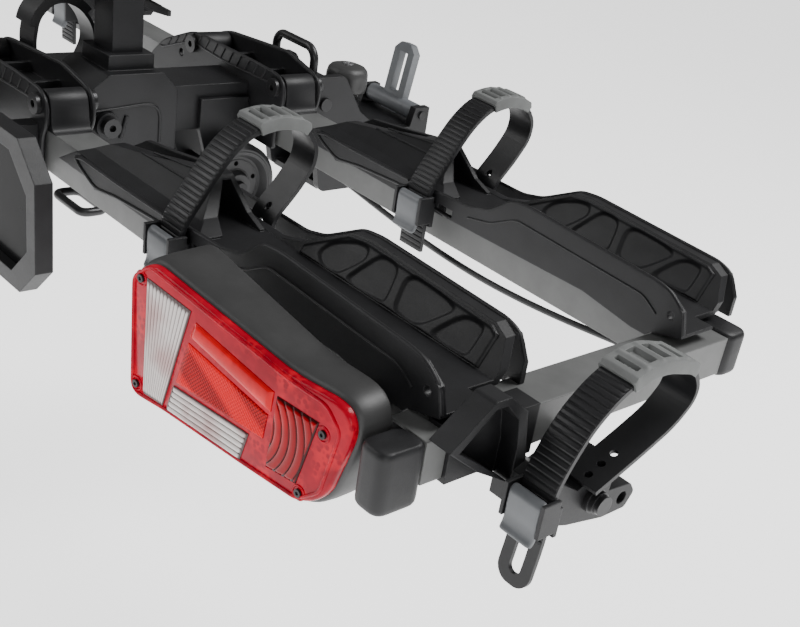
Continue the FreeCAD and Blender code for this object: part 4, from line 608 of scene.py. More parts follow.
class Wardrobe:
    """Keeps each finish's material, made once."""

    def __init__(self) -> None:
        """Start with no materials."""
        self._made: dict[str, bpy.types.Material] = {}

    def material(self, finish: Finish) -> bpy.types.Material:
        """Look up a finish's material, which is made when it is first asked for.

        Args:
            finish: the finish.

        Returns:
            Its material.
        """
        if finish.name not in self._made:
            self._made[finish.name] = finish.make()
        return self._made[finish.name]

    def dress_frame(self) -> None:
        """Give every solid of the frame its finish, looked up by its name without the wing's side."""
        for node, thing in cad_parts.items():
            plain = node.removeprefix("right_").removeprefix("left_")
            thing.data.materials.clear()
            thing.data.materials.append(self.material(NODE_FINISH[plain]))

    def piece(
        self, name: str, mesh: bpy.types.Mesh, finish: Finish, body: str, slot: str, stands_for: tuple = (),
    ) -> bpy.types.Object:
        """Put a finished mesh in the scene.

        Args:
            name: the piece's name.
            mesh: its mesh, in metres of the rack's frame.
            finish: its finish.
            body: the body that it rides on.
            slot: not used.
            stands_for: CAD nodes that it replaces.

        Returns:
            The new object.
        """
        thing = bpy.data.objects.new(name, mesh)
        bpy.context.scene.collection.objects.link(thing)
        mesh.materials.append(self.material(finish))
        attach(thing, body)
        if stands_for:
            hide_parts(*stands_for)
        LOG.info("%s on %s", name, body)
        return thing


class Ends(Enum):
    """What closes a row of rings at its two ends."""

    FACES = "a face on the first and on the last ring"
    JOINED = "the last ring meets the first one"
    POINTS = "the first and the last ring have shrunk to a point"


def closed_mesh(
    name: str, points: np.ndarray, faces: list[list[int]], angle: float, groove: np.ndarray | None = None,
) -> bpy.types.Mesh:
    """Mesh of points and faces, with points that coincide merged and all faces turned outwards.

    Args:
        name: the mesh's name.
        points: (n, 3) points in millimetres.
        faces: the numbers of the points round each face.
        angle: edges sharper than this, in degrees, stay sharp.
        groove: depth from 0 to 1 of each point, kept for the painted shade in the ribbed lens's grooves.

    Returns:
        The mesh, in metres.
    """
    mesh = bpy.data.meshes.new(name)
    mesh.from_pydata((points * MM).tolist(), [], faces)
    mesh.update()
    if groove is not None:
        kept = mesh.attributes.new("groove", "FLOAT", "POINT")
        kept.data.foreach_set("value", groove.astype(np.float32))
    work = bmesh.new()
    work.from_mesh(mesh)
    bmesh.ops.remove_doubles(work, verts=work.verts, dist=MERGE_DISTANCE)
    bmesh.ops.recalc_face_normals(work, faces=work.faces)
    work.to_mesh(mesh)
    work.free()
    mesh.shade_smooth()
    mesh.set_sharp_from_angle(angle=math.radians(angle))
    return mesh


def ring_faces(layers: int, sides: int, ends: Ends = Ends.FACES) -> list[list[int]]:
    """Faces between rings of points that follow each other.

    Args:
        layers: number of rings.
        sides: points in a ring.
        ends: what closes the row at its ends.

    Returns:
        The numbers of the points round each face.
    """
    index = np.arange(layers * sides).reshape(layers, sides)
    before, after = index[:-1], index[1:]
    if ends is Ends.JOINED:
        before, after = index, np.roll(index, -1, axis=0)
    quads = np.stack([before, np.roll(before, -1, axis=1), np.roll(after, -1, axis=1), after], -1)
    faces = quads.reshape(-1, 4).tolist()
    if ends is Ends.FACES:
        faces += [index[0, ::-1].tolist(), index[-1].tolist()]
    return faces


def slab(
    name: str, top: np.ndarray, bottom: np.ndarray, angle: float, groove: np.ndarray | None = None,
) -> bpy.types.Mesh:
    """Closed shell under a relief: the top grid, a flat strip below it and walls between them.

    Args:
        name: the mesh's name.
        top: (rows, columns, 3) points of the relief, in millimetres.
        bottom: (rows, 2, 3) points below the first and the last column, in millimetres.
        angle: edges sharper than this, in degrees, stay sharp.
        groove: (rows, columns) depth from 0 to 1, kept on the points.

    Returns:
        The mesh, in metres.
    """
    rows, columns = top.shape[:2]
    index = np.arange(rows * columns).reshape(rows, columns)
    under = rows * columns + np.arange(rows * 2).reshape(rows, 2)
    quads = [
        np.stack([index[:-1, :-1], index[1:, :-1], index[1:, 1:], index[:-1, 1:]], -1).reshape(-1, 4),
        np.stack([index[:-1, 0], under[:-1, 0], under[1:, 0], index[1:, 0]], -1),
        np.stack([index[:-1, -1], index[1:, -1], under[1:, 1], under[:-1, 1]], -1),
        np.stack([under[:-1, 0], under[:-1, 1], under[1:, 1], under[1:, 0]], -1),
    ]
    faces = np.concatenate(quads).tolist()
    faces.append([*index[0, :].tolist(), int(under[0, 1]), int(under[0, 0])])
    faces.append([*index[-1, ::-1].tolist(), int(under[-1, 0]), int(under[-1, 1])])
    points = np.concatenate([top.reshape(-1, 3), bottom.reshape(-1, 3)])
    if groove is not None:
        groove = np.concatenate([groove.reshape(-1), np.ones(rows * 2)])
    return closed_mesh(name, points, faces, angle, groove)


def stack(name: str, rings: np.ndarray, ends: Ends = Ends.FACES, angle: float = 40.0) -> bpy.types.Mesh:
    """Body through rings of points.

    Args:
        name: the mesh's name.
        rings: (layers, n, 3) points in millimetres.
        ends: what closes the body.
        angle: edges sharper than this, in degrees, stay sharp.

    Returns:
        The closed mesh, in metres.
    """
    layers, sides = rings.shape[:2]
    return closed_mesh(name, rings.reshape(-1, 3), ring_faces(layers, sides, ends), angle)


def bead(
    name: str, line: np.ndarray, radius: float, closed: bool = False, sides: int = 8,
) -> bpy.types.Mesh:
    """Round bead along a line: a circle of points at every spot, its axes carried on from the one before.

    Args:
        name: the mesh's name.
        line: (n, 3) spots in millimetres.
        radius: radius in millimetres.
        closed: whether the line comes back to its first spot.
        sides: points in a circle.

    Returns:
        The closed mesh, in metres.
    """
    ahead = np.roll(line, -1, axis=0) - np.roll(line, 1, axis=0) if closed else np.gradient(line, axis=0)
    ahead = ahead / np.linalg.norm(ahead, axis=1, keepdims=True)
    upper = np.empty_like(line)
    guide = np.eye(3)[int(np.argmin(np.abs(ahead).sum(axis=0)))]
    for number, way in enumerate(ahead):
        guide = guide - way * float(guide @ way)
        guide = guide / np.linalg.norm(guide)
        upper[number] = guide
    beside = np.cross(ahead, upper)
    turn = np.arange(sides) * (2.0 * math.pi / sides)
    rings = line[:, None, :] + radius * (
        np.cos(turn)[None, :, None] * upper[:, None, :] + np.sin(turn)[None, :, None] * beside[:, None, :]
    )
    return stack(name, rings, Ends.JOINED if closed else Ends.FACES, 50.0)


def rounded(spots: list[tuple[float, ...]] | np.ndarray, reach: float, closed: bool = False) -> np.ndarray:
    """Line with its corners cut to curves.

    Each corner becomes a parabola from one run to the other. With t the share of the way, its point is the
    start times the square of 1 - t, plus the corner times 2t(1 - t), plus the end times the square of t. Start
    and end lie on the runs, at most the reach away from the corner and never past the middle of a run.

    Args:
        spots: (n, 3) corners.
        reach: how far a curve goes along each run.
        closed: whether the line comes back to its first corner.

    Returns:
        (m, 3) spots.
    """
    corners = np.asarray(spots, float)
    count = len(corners)
    share = np.linspace(0.0, 1.0, CURVE_STEPS)[:, None]
    line = [] if closed else [corners[:1]]
    for number in range(count) if closed else range(1, count - 1):
        corner = corners[number]
        ends = []
        for other in (corners[number - 1], corners[(number + 1) % count]):
            run = other - corner
            length = float(np.linalg.norm(run))
            ends.append(corner + run / length * min(reach, 0.48 * length))
        line.append((1 - share) ** 2 * ends[0] + 2 * share * (1 - share) * corner + share ** 2 * ends[1])
    if not closed:
        line.append(corners[-1:])
    return np.concatenate(line)


def flat_loop(spots: tuple | list, reach: float) -> np.ndarray:
    """Closed outline in a plane with rounded corners.

    Args:
        spots: (n, 2) corners.
        reach: how far a curve goes along each run.

    Returns:
        (m, 2) spots.
    """
    return rounded([(first, second, 0.0) for first, second in spots], reach, True)[:, :2]


def shell(name: str, outline: np.ndarray, low: float, high: float, soft: float) -> bpy.types.Mesh:
    """Body drawn from an outline in XZ, from low to high in Y, with its two rims drawn in by a soft edge.

    Args:
        name: the mesh's name.
        outline: (n, 2) corners round the body, in millimetres.
        low: first Y.
        high: last Y.
        soft: how far the rims are drawn in.

    Returns:
        The closed mesh, in metres.
    """
    away = outline - outline.mean(axis=0)
    away = away / np.linalg.norm(away, axis=1, keepdims=True)
    edge = ((0.0, 1.0), (0.3, 0.3), (1.0, 0.0))
    levels = [(low + way * soft, inset * soft) for way, inset in edge]
    levels += [(high - way * soft, inset * soft) for way, inset in reversed(edge)]
    layers = []
    for y, inset in levels:
        flat = outline - away * inset
        layers.append(np.stack([flat[:, 0], np.full(len(flat), y), flat[:, 1]], -1))
    return stack(name, np.stack(layers))


def smooth_step(low: float, high: float, value: np.ndarray) -> np.ndarray:
    """0 below low, 1 above high, and between them 3 - 2t times the square of t, the share of the way."""
    share = np.clip((value - low) / (high - low), 0.0, 1.0)
    return share * share * (3.0 - 2.0 * share)


def half_round(share: np.ndarray) -> np.ndarray:
    """Row of half circles, one to each whole number of the share, from 0 at their feet to 1."""
    return np.sqrt(np.clip(1.0 - (2.0 * np.mod(share, 1.0) - 1.0) ** 2, 0.0, 1.0))


def inside_polygon(corners: np.ndarray, across: np.ndarray, up: np.ndarray) -> np.ndarray:
    """How deep each point lies inside a convex polygon, negative outside.

    The depth is a softened least of the distances to the edges: minus s times the logarithm of the sum of
    exp(-distance / s), with s 1.875 mm.

    Args:
        corners: (n, 2) corners in clockwise order.
        across: first coordinate of the points.
        up: second coordinate of the points.

    Returns:
        Depth of each point, in the units of the corners.
    """
    softness = 1.875
    run = np.roll(corners, -1, axis=0) - corners
    run = run / np.linalg.norm(run, axis=1, keepdims=True)
    depth = np.stack([(across - a[0]) * r[1] - (up - a[1]) * r[0] for a, r in zip(corners, run)])
    return -np.log(np.sum(np.exp(-np.clip(depth, -60.0, 60.0) / softness), axis=0)) * softness


@dataclass(frozen=True)
class RoundedPath:
    """Straight runs joined by tangent arcs in a plane of constant X.

    Attributes:
        corners: Y and Z of the corners.
        share: how far an arc goes along the shorter of its two runs, as a share of that run.
    """

    corners: tuple[tuple[float, float], ...]
    share: float = 0.45

    def bends(self) -> list[np.ndarray]:
        """Work out the arcs.

        Returns:
            Rows of points: the start, the arc at each corner between the two ends, and the end.
        """
        spots = np.array(self.corners, float)
        runs = np.diff(spots, axis=0)
        lengths = np.linalg.norm(runs, axis=1)
        units = runs / lengths[:, None]
        reach = self.share * np.minimum(lengths[:-1], lengths[1:])
        entry = spots[1:-1] - units[:-1] * reach[:, None]
        pieces = [spots[:1]]
        for number, (before, after) in enumerate(zip(units[:-1], units[1:])):
            turn = np.arctan2(before[0] * after[1] - before[1] * after[0], float(before @ after))
            radius = reach[number] / math.tan(abs(turn) / 2)
            centre = entry[number] + np.array([-before[1], before[0]]) * math.copysign(1.0, turn) * radius
            start = entry[number] - centre
            angles = np.linspace(0.0, turn, ARC_STEPS)
            pieces.append(centre + np.stack([
                start[0] * np.cos(angles) - start[1] * np.sin(angles),
                start[0] * np.sin(angles) + start[1] * np.cos(angles),
            ], -1))
        pieces.append(spots[-1:])
        return pieces

    def sample(self, step: float, first: int, last: int) -> tuple[np.ndarray, np.ndarray, np.ndarray]:
        """Points that stand evenly along a stretch of the path.

        Args:
            step: distance between points, in millimetres.
            first: corner whose arc starts the stretch; 0 is the path's start.
            last: corner whose arc ends the stretch.

        Returns:
            Length along the stretch, (n, 2) points and (n, 2) normals to the left of the run.
        """
        dense = np.concatenate(self.bends()[first:last + 1])
        gaps = np.linalg.norm(np.diff(dense, axis=0), axis=1)
        dense = dense[np.concatenate([[True], gaps > 1e-6])]
        along = np.concatenate([[0.0], np.cumsum(np.linalg.norm(np.diff(dense, axis=0), axis=1))])
        count = max(3, int(round(along[-1] / step)) + 1)
        where = np.linspace(0.0, along[-1], count)
        points = np.stack([np.interp(where, along, dense[:, k]) for k in range(2)], -1)
        tangent = np.gradient(points, where, axis=0)
        tangent /= np.linalg.norm(tangent, axis=1, keepdims=True)
        return where, points, np.stack([-tangent[:, 1], tangent[:, 0]], -1)


@dataclass(frozen=True)
class Studio:
    """Camera at the photograph's angle, pale floor and soft light, all in metres.

    Attributes:
        place: the camera's place.
        yaw: turn to the left of straight ahead, in degrees.
        pitch: how far the camera looks down, in degrees.
        roll: how far it leans, in degrees.
        lens: focal length in millimetres.
        shift: how far the frame is moved sideways and up, in widths of the picture.
        boxes: name, place, target, size and power of each soft box.
        sky: strength of the white sky.
        floor: height of the floor.
        floor_half: half of the floor's side.
        floor_cells: squares along the floor's side.
    """

    place: tuple[float, float, float] = (0.9165, -0.8097, 0.4029)
    yaw: float = 39.6
    pitch: float = 29.5
    roll: float = 12.0
    lens: float = 53.28
    shift: tuple[float, float] = (-0.115, 0.122)
    boxes: tuple = (
        ("key_box", (0.9, 0.9, 1.9), (0.2, -0.2, 0.0), 1.1, 60.0),
        ("fill_box", (-1.2, -1.6, 1.3), (0.2, -0.2, 0.0), 1.2, 16.0),
        ("front_box", (2.0, -1.4, 0.6), (0.3, -0.3, 0.0), 0.9, 10.0),
    )
    sky: float = 0.2
    floor: float = -0.42
    floor_half: float = 6.0
    floor_cells: int = 8

    def hang(self, name: str, data: bpy.types.ID, axes: list[np.ndarray], place: tuple) -> bpy.types.Object:
        """Put a camera or a light in the scene.

        Args:
            name: the object's name.
            data: its camera or light.
            axes: the directions of its right, its up and its back.
            place: its place.

        Returns:
            The new object.
        """
        thing = bpy.data.objects.new(name, data)
        bpy.context.scene.collection.objects.link(thing)
        matrix = np.eye(4)
        matrix[:3, :3] = np.stack(axes, -1)
        matrix[:3, 3] = place
        thing.matrix_world = Matrix(matrix.tolist())
        return thing

    def camera(self) -> None:
        """Set the camera: right, up and back axes from yaw, pitch and roll."""
        yaw, pitch, roll = (math.radians(angle) for angle in (self.yaw, self.pitch, self.roll))
        level = np.array([math.cos(yaw), math.sin(yaw), 0.0])
        ahead = np.array([
            -math.sin(yaw) * math.cos(pitch), math.cos(yaw) * math.cos(pitch), -math.sin(pitch),
        ])
        upper = np.cross(level, ahead)
        right = math.cos(roll) * level + math.sin(roll) * upper
        up = -math.sin(roll) * level + math.cos(roll) * upper
        data = bpy.data.cameras.new("photo_camera")
        data.sensor_width = 36.0
        data.lens = self.lens
        data.shift_x, data.shift_y = self.shift
        data.clip_start = 0.01
        bpy.context.scene.camera = self.hang("photo_camera", data, [right, up, -ahead], self.place)

    def soft_box(self, name: str, place: tuple, target: tuple, size: float, power: float) -> None:
        """One square soft box aimed at a point.

        Args:
            name: the light's name.
            place: its place.
            target: the point that it is aimed at.
            size: its side.
            power: its power in watts.
        """
        data = bpy.data.lights.new(name, "AREA")
        data.shape = "SQUARE"
        data.size = size
        data.energy = power
        away = np.array(place) - np.array(target)
        away /= np.linalg.norm(away)
        side = np.cross([0.0, 0.0, 1.0], away)
        side /= np.linalg.norm(side)
        self.hang(name, data, [side, np.cross(away, side), away], place)

    def pale_floor(self) -> None:
        """Level grid of squares, matt and nearly white, that gives back some light of its own."""
        count = self.floor_cells + 1
        grid = np.linspace(-self.floor_half, self.floor_half, count)
        across, along = np.meshgrid(grid, grid, indexing="ij")
        points = np.stack([across, along, np.full_like(across, self.floor)], -1)
        index = np.arange(count * count).reshape(count, count)
        faces = np.stack([index[:-1, :-1], index[1:, :-1], index[1:, 1:], index[:-1, 1:]], -1).reshape(-1, 4)
        mesh = bpy.data.meshes.new("floor")
        mesh.from_pydata(points.reshape(-1, 3).tolist(), [], faces.tolist())
        floor = bpy.data.objects.new("floor", mesh)
        bpy.context.scene.collection.objects.link(floor)
        graph = Graph("pale_floor")
        cloud = graph.noise(3.0, detail=3.0)
        graph.drive("Base Color", graph.blend(cloud, (0.86, 0.86, 0.86), (0.9, 0.9, 0.9)))
        graph.constants(
            Roughness=0.9, Specular_IOR_Level=0.1, Emission_Color=(1.0, 1.0, 1.0, 1.0), Emission_Strength=1.5,
        )
        mesh.materials.append(graph.material)

    def build(self) -> None:
        """Camera, lights, sky and floor."""
        self.camera()
        for box in self.boxes:
            self.soft_box(*box)
        world = bpy.data.worlds.new("studio_sky")
        world.use_nodes = True
        background = world.node_tree.nodes["Background"]
        background.inputs["Color"].default_value = (1.0, 1.0, 1.0, 1.0)
        background.inputs["Strength"].default_value = self.sky
        bpy.context.scene.world = world
        self.pale_floor()


@dataclass(frozen=True)
class Strap:
    """One ladder strap of a wing.

    Attributes:
        name: near, far or outer.
        path: its middle line, as Y from its face and Z from the rail's top.
        left: X of its inner edge, as on the right wing.
        face: Y that its middle line is given from.
        plain: length without teeth at its lower end.
        wraps: whether the teeth go on behind the pad.
    """

    name: str
    path: RoundedPath
    left: float
    face: float
    plain: float
    wraps: bool

    def spots(self, side: Side, across: np.ndarray, points: np.ndarray) -> np.ndarray:
        """Carry points of the strap's plane into the rack's frame.

        Args:
            side: the wing.
            across: place of each point across the strap.
            points: (rows, columns, 2) points of the plane.

        Returns:
            (rows, columns, 3) points.
        """
        x = np.broadcast_to((self.left + across) * side.value, points.shape[:-1])
        return np.stack([x, points[..., 0] + self.face, points[..., 1] + RAIL_TOP], -1)


@dataclass
class WheelStraps:
    """Teeth and rubber pads on the three ladder straps of one wing.

    Attributes:
        side: the wing.
        wardrobe: the materials.
        width: width of a strap.
        thick: thickness of a strap.
        tooth: distance between teeth.
        tooth_height: height of a tooth over the strap.
        saw: height of the ladder, as a share, over one tooth's length from 0 to 1.
        tooth_ends: height of a tooth, as a share, over its place across the strap.
        sunk: how far the teeth's underside lies inside the strap.
        ladder_end: length without teeth below the pad's far end.
        wrap_start: length without teeth where the ladder goes on behind the pad.
        pad_wall: how far a pad stands past the strap's edges and its face.
        pad_base: height of a pad over the strap at its ends.
        pad_dome: how much higher it is in its middle.
        pad_ridge: height of its cross ridges.
        pad_lanes: slots along it.
        pad_span: shares of the bend's length where it starts and ends.
        slot_depth: depth of its slots.
        slot_half: half of a slot's length across the pad.
        pad_corners: corners of the strap that a pad bends round.
        inner: middle line of the near and the far strap.
        outer: middle line of the outer strap.
    """

    side: Side
    wardrobe: Wardrobe
    width: float = 25.0
    thick: float = 3.0
    tooth: float = 4.1
    tooth_height: float = 1.0
    saw: tuple = ((0.0, 0.15), (0.16, 0.15), (0.24, 0.8), (0.32, 1.0), (0.95, 0.72), (1.0, 0.15))
    tooth_ends: tuple = (
        (0.3, 0.0), (0.5, 0.55), (1.3, 0.8), (2.0, 1.0), (12.5, 1.0), (23.0, 1.0), (23.7, 0.8), (24.5, 0.55),
        (24.7, 0.0),
    )
    sunk: float = 0.3
    ladder_end: float = 30.0
    wrap_start: float = 10.0
    pad_wall: float = 1.6
    pad_base: float = 2.6
    pad_dome: float = 2.2
    pad_ridge: float = 1.1
    pad_lanes: float = 5.0
    pad_span: tuple[float, float] = (0.2, 0.9)
    slot_depth: float = 3.0
    slot_half: float = 8.5
    pad_corners: tuple[int, int] = (5, 7)
    inner: RoundedPath = RoundedPath((
        (-19.7, -40), (-19.7, 10), (-8, 27), (3, 43), (16, 60), (32, 72.5), (54, 76.5), (74, 71.5), (84, 58),
        (83, 44), (71, 27), (51.7, 6), (51.7, -16),
    ))
    outer: RoundedPath = RoundedPath((
        (18, -92), (23, -58), (23.5, -24), (33, -4), (44, 13), (64, 30), (93, 38.5), (131, 28.5), (142, 9),
        (126, -8), (100, -20.2), (61.3, -36.3),
    ))

    def teeth(self, strap: Strap, part: str, first: int, last: int, trim: tuple[float, float]) -> None:
        """Ladder teeth on the strap's outer face.

        The height over the strap is a saw: low in a narrow groove, then a steep rise and a slow fall to the
        next one.

        Args:
            strap: the strap.
            part: the part's name.
            first: corner of the strap where the ladder starts.
            last: corner where it ends.
            trim: length left plain at its two ends.
        """
        where, points, normals = strap.path.sample(self.tooth / 8.0, first, last)
        keep = (where >= trim[0]) & (where <= where[-1] - trim[1])
        where, points, normals = where[keep], points[keep], normals[keep]
        height = np.interp(np.mod(where / self.tooth, 1.0), *np.array(self.saw).T)
        across, profile = np.array(self.tooth_ends).T
        rise = self.thick / 2 + self.tooth_height * height[:, None] * profile[None, :]
        top = strap.spots(self.side, across, points[:, None, :] + normals[:, None, :] * rise[..., None])
        base = points + normals * (self.thick / 2 - self.sunk)
        bottom = strap.spots(self.side, across[[0, -1]], np.repeat(base[:, None, :], 2, axis=1))
        title = f"{self.side.word}_{strap.name}_{part}_teeth"
        mesh = slab(title, top, bottom, 28.0)
        self.wardrobe.piece(title, mesh, STRAP_PLASTIC, self.side.body, "strap_plastic")

    def pad(self, strap: Strap) -> bpy.types.Object:
        """Rubber pad: a domed sleeve with five sunk slots and cross ridges between them.

        Its height is a base, plus a dome that is 1 less a quarter of the fourth power of the place across and
        fades at both ends, plus a bell on each ridge, less the slots, which are smooth steps along and across.

        Args:
            strap: the strap.

        Returns:
            The pad.
        """
        where, points, normals = strap.path.sample(0.45, *self.pad_corners)
        start, stop = (share * where[-1] for share in self.pad_span)
        keep = (where >= start) & (where <= stop)
        where, points, normals = where[keep] - where[keep][0], points[keep], normals[keep]
        under = -self.thick / 2 - 0.8
        wall = self.thick / 2 + self.pad_wall
        half = self.width / 2 + self.pad_wall
        lateral = np.concatenate([[-half, -half], np.linspace(-half + 0.8, half - 0.8, 41), [half, half]])
        away = np.abs(lateral)
        share = where / where[-1]
        fade = smooth_step(0.0, 0.05, share) * smooth_step(0.0, 0.05, 1.0 - share)
        dome = fade[:, None] * (1.0 - 0.25 * (away / half) ** 4)
        lanes = np.mod(share * self.pad_lanes - 0.5, 1.0)
        ridge = np.exp(-((lanes - 0.5) / 0.13) ** 2) * (share > 0.08) * (share < 0.92)
        ridges = ridge[:, None] * smooth_step(0.0, 2.0, 12.6 - away)
        slot = smooth_step(0.0, 0.08, 0.30 - np.abs(np.mod(share * self.pad_lanes, 1.0) - 0.5))
        slots = (slot * (share > 0.1) * (share < 0.9))[:, None] * smooth_step(0.0, 0.6, self.slot_half - away)
        crown = self.pad_base + self.pad_dome * dome + self.pad_ridge * ridges
        rise = self.thick / 2 + crown - self.slot_depth * slots
        rise[:, [0, -1]] = under
        rise[:, [1, -2]] = wall
        middle = self.width / 2
        top = strap.spots(
            self.side, lateral + middle, points[:, None, :] + normals[:, None, :] * rise[..., None],
        )
        feet = np.array([-half + 1.0, half - 1.0]) + middle
        low = np.repeat((points + normals * under)[:, None, :], 2, axis=1)
        title = f"{self.side.word}_{strap.name}_pad"
        mesh = slab(title, top, strap.spots(self.side, feet, low), 40.0)
        return self.wardrobe.piece(title, mesh, PAD_RUBBER, self.side.body, "pad_rubber")

    def build(self) -> None:
        """Teeth and pads of the near, far and outer strap."""
        straps = (
            Strap("near", self.inner, INNER_STRAP_LEFT, NEAR_FACE, 2.0, True),
            Strap("far", self.inner, INNER_STRAP_LEFT, FAR_FACE, 2.0, True),
            Strap("outer", self.outer, OUTER_STRAP_LEFT, NEAR_FACE + self.side.holder_shift, 34.0, False),
        )
        last = self.pad_corners[1]
        for strap in straps:
            self.teeth(strap, "lower", 0, last, (strap.plain, self.ladder_end))
            if strap.wraps:
                self.teeth(strap, "upper", last, last + 1, (self.wrap_start, 0.0))
            self.pad(strap)
        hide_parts(f"{self.side.word}_strap_pads")


class Relief(Enum):
    """Shape moulded in a panel of the lens; the value is the panel's name."""

    UPRIGHT_RIBS = "window"
    ROUND_BAR = "bar"
    PYRAMIDS = "reflex"
    LEVEL_RIBS = "strip"
    ARCS = "prism"

    def height(self, down: np.ndarray, across: np.ndarray, u: np.ndarray, z: np.ndarray) -> np.ndarray:
        """Height over the panel: rows of half circles, or a product of two sines for the pyramids.

        Args:
            down: share of the way down the panel, as a column.
            across: share of the way across, as a row.
            u: place along the lens, in millimetres.
            z: place up the lens, in millimetres.

        Returns:
            The height in millimetres, for the whole grid or for one row or column that repeats.
        """
        if self is Relief.UPRIGHT_RIBS:
            return 1.1 * half_round(across * 12.0)
        if self is Relief.ROUND_BAR:
            return 2.0 * half_round(0.02 + 0.96 * down) ** 1.2
        if self is Relief.PYRAMIDS:
            return 0.5 + 0.3 * (np.sin(u * 2.2) * np.sin(z * 2.2))
        if self is Relief.LEVEL_RIBS:
            return 1.1 * half_round(down * 5.0)
        return 1.5 * half_round(np.hypot(u - 92.0, (z + 32.0) * 1.25) / 6.2)


@dataclass
class LampFace:
    """Panels moulded in the red lens of one wing's lamp, in the lens's own plane.

    Attributes:
        side: the wing.
        wardrobe: the materials.
        turn: how far the lens is turned outwards, in radians.
        corner: where u and z are 0, as on the right wing.
        panels: relief, finish and (u, z) corners, first the upper two from the left, then the lower two.
        base: least height of a panel over the lens.
        sunk: height of a panel's underside, inside the lens.
        grid: points down and across a panel.
        rim: (u, z) corners of the bead round the lens.
        screws: (u, z) centres of the screw rings.
        ring: radius of a screw ring.
    """

    side: Side
    wardrobe: Wardrobe
    turn: float = math.radians(6.0)
    corner: tuple[float, float, float] = (333.0, -465.0, 75.0)
    panels: tuple = (
        (Relief.UPRIGHT_RIBS, CLEAR_RIBS, ((16.5, 12.5), (57.5, 8.6), (17.5, -66.5), (36.4, -66.0))),
        (Relief.ROUND_BAR, RED_BAR, ((62.5, 3.4), (131.5, -8.6), (58.2, -7.4), (130.4, -22.0))),
        (Relief.PYRAMIDS, REFLEX_RED, ((57.0, -12.4), (128.4, -25.2), (48.0, -43.4), (126.0, -42.0))),
        (Relief.LEVEL_RIBS, CLEAR_RIBS, ((45.6, -47.2), (114.6, -45.4), (40.0, -66.6), (109.0, -66.0))),
        (Relief.ARCS, RED_PRISM, ((134.5, -9.6), (168.0, -9.6), (131.0, -58.5), (156.0, -56.5))),
    )
    base: float = 0.5
    sunk: float = -0.4
    grid: tuple[int, int] = (90, 110)
    rim: tuple = (
        (3.6, 8.0), (17.6, 20.4), (140.0, 4.6), (172.0, 3.4), (184.0, -8.0), (174.6, -52.0), (158.0, -65.6),
        (112.0, -66.8), (38.0, -67.6), (11.0, -69.6), (5.6, -66.0),
    )
    screws: tuple = ((11.0, 10.0), (10.0, -63.0), (172.0, -15.0), (159.0, -61.0))
    ring: float = 4.6

    def place(self, along: np.ndarray, up: np.ndarray, out: np.ndarray | float) -> np.ndarray:
        """Carry spots of the lens plane into the rack's frame.

        A spot is the lens's corner, plus the way along its lower edge, plus the way up, plus the way out along
        the lens's normal.

        Args:
            along: u of the spots.
            up: z of the spots.
            out: how far the spots stand out of the lens.

        Returns:
            The spots, with X, Y and Z last.
        """
        across = np.array([math.cos(self.turn), math.sin(self.turn), 0.0])
        face = np.array([math.sin(self.turn), -math.cos(self.turn), 0.0])
        along, up, out = np.broadcast_arrays(along, up, out)
        spots = np.array(self.corner) + along[..., None] * across + up[..., None] * np.array([0.0, 0.0, 1.0])
        return (spots + out[..., None] * face) * self.side.mirror

    def hang(self, name: str, mesh: bpy.types.Mesh, finish: Finish) -> None:
        """Hang a piece of the lens on the wing."""
        self.wardrobe.piece(name, mesh, finish, self.side.body, "red_lens")

    def panel(self, relief: Relief, finish: Finish, corners: tuple) -> None:
        """Relief on a panel between four corners; the grid's spots are weighted means of the corners.

        Args:
            relief: the shape.
            finish: its finish.
            corners: (u, z) of the four corners.
        """
        down = np.linspace(0.0, 1.0, self.grid[0])[:, None]
        across = np.linspace(0.0, 1.0, self.grid[1])[None, :]
        weights = np.stack([
            (1 - down) * (1 - across), (1 - down) * across, down * (1 - across), down * across,
        ], -1)
        spots = weights @ np.array(corners, float)
        rise = relief.height(down, across, spots[..., 0], spots[..., 1])
        border = np.minimum(np.minimum(down, 1 - down) * 20.0, np.minimum(across, 1 - across) * 24.0)
        fade = np.clip(border, 0.0, 1.0)
        top = self.place(spots[..., 0], spots[..., 1], self.base + rise * fade)
        ends = spots[:, [0, -1]]
        bottom = self.place(ends[..., 0], ends[..., 1], self.sunk)
        # Depth from 0 to 1 that sets the painted shade in the grooves of a ribbed lens.
        groove = 1.0 - rise / max(float(rise.max()), 1e-6) * fade
        title = f"{self.side.word}_lens_{relief.value}"
        self.hang(title, slab(title, top, bottom, 32.0, groove), finish)

    def line(self, name: str, spots: tuple | list, radius: float, reach: float) -> None:
        """Closed bead on the lens.

        Args:
            name: the bead's name.
            spots: (u, z) corners.
            radius: the bead's radius.
            reach: how far its corners are rounded.
        """
        flat = flat_loop(spots, reach)
        title = f"{self.side.word}_lens_{name}"
        self.hang(title, bead(title, self.place(flat[:, 0], flat[:, 1], 0.0), radius, True), RED_LENS)

    def build(self) -> None:
        """Window, bar, reflector, strip, prism part, rim and screw rings."""
        for relief, finish, corners in self.panels:
            self.panel(relief, finish, corners)
        self.line("rim", self.rim, 1.3, 5.0)
        turn = np.linspace(0.0, 2.0 * math.pi, 20, endpoint=False)
        circle = self.ring * np.stack([np.cos(turn), np.sin(turn)], -1)
        for number, screw in enumerate(self.screws):
            self.line(f"ring{number}", (np.array(screw) + circle).tolist(), 0.7, 0.2)


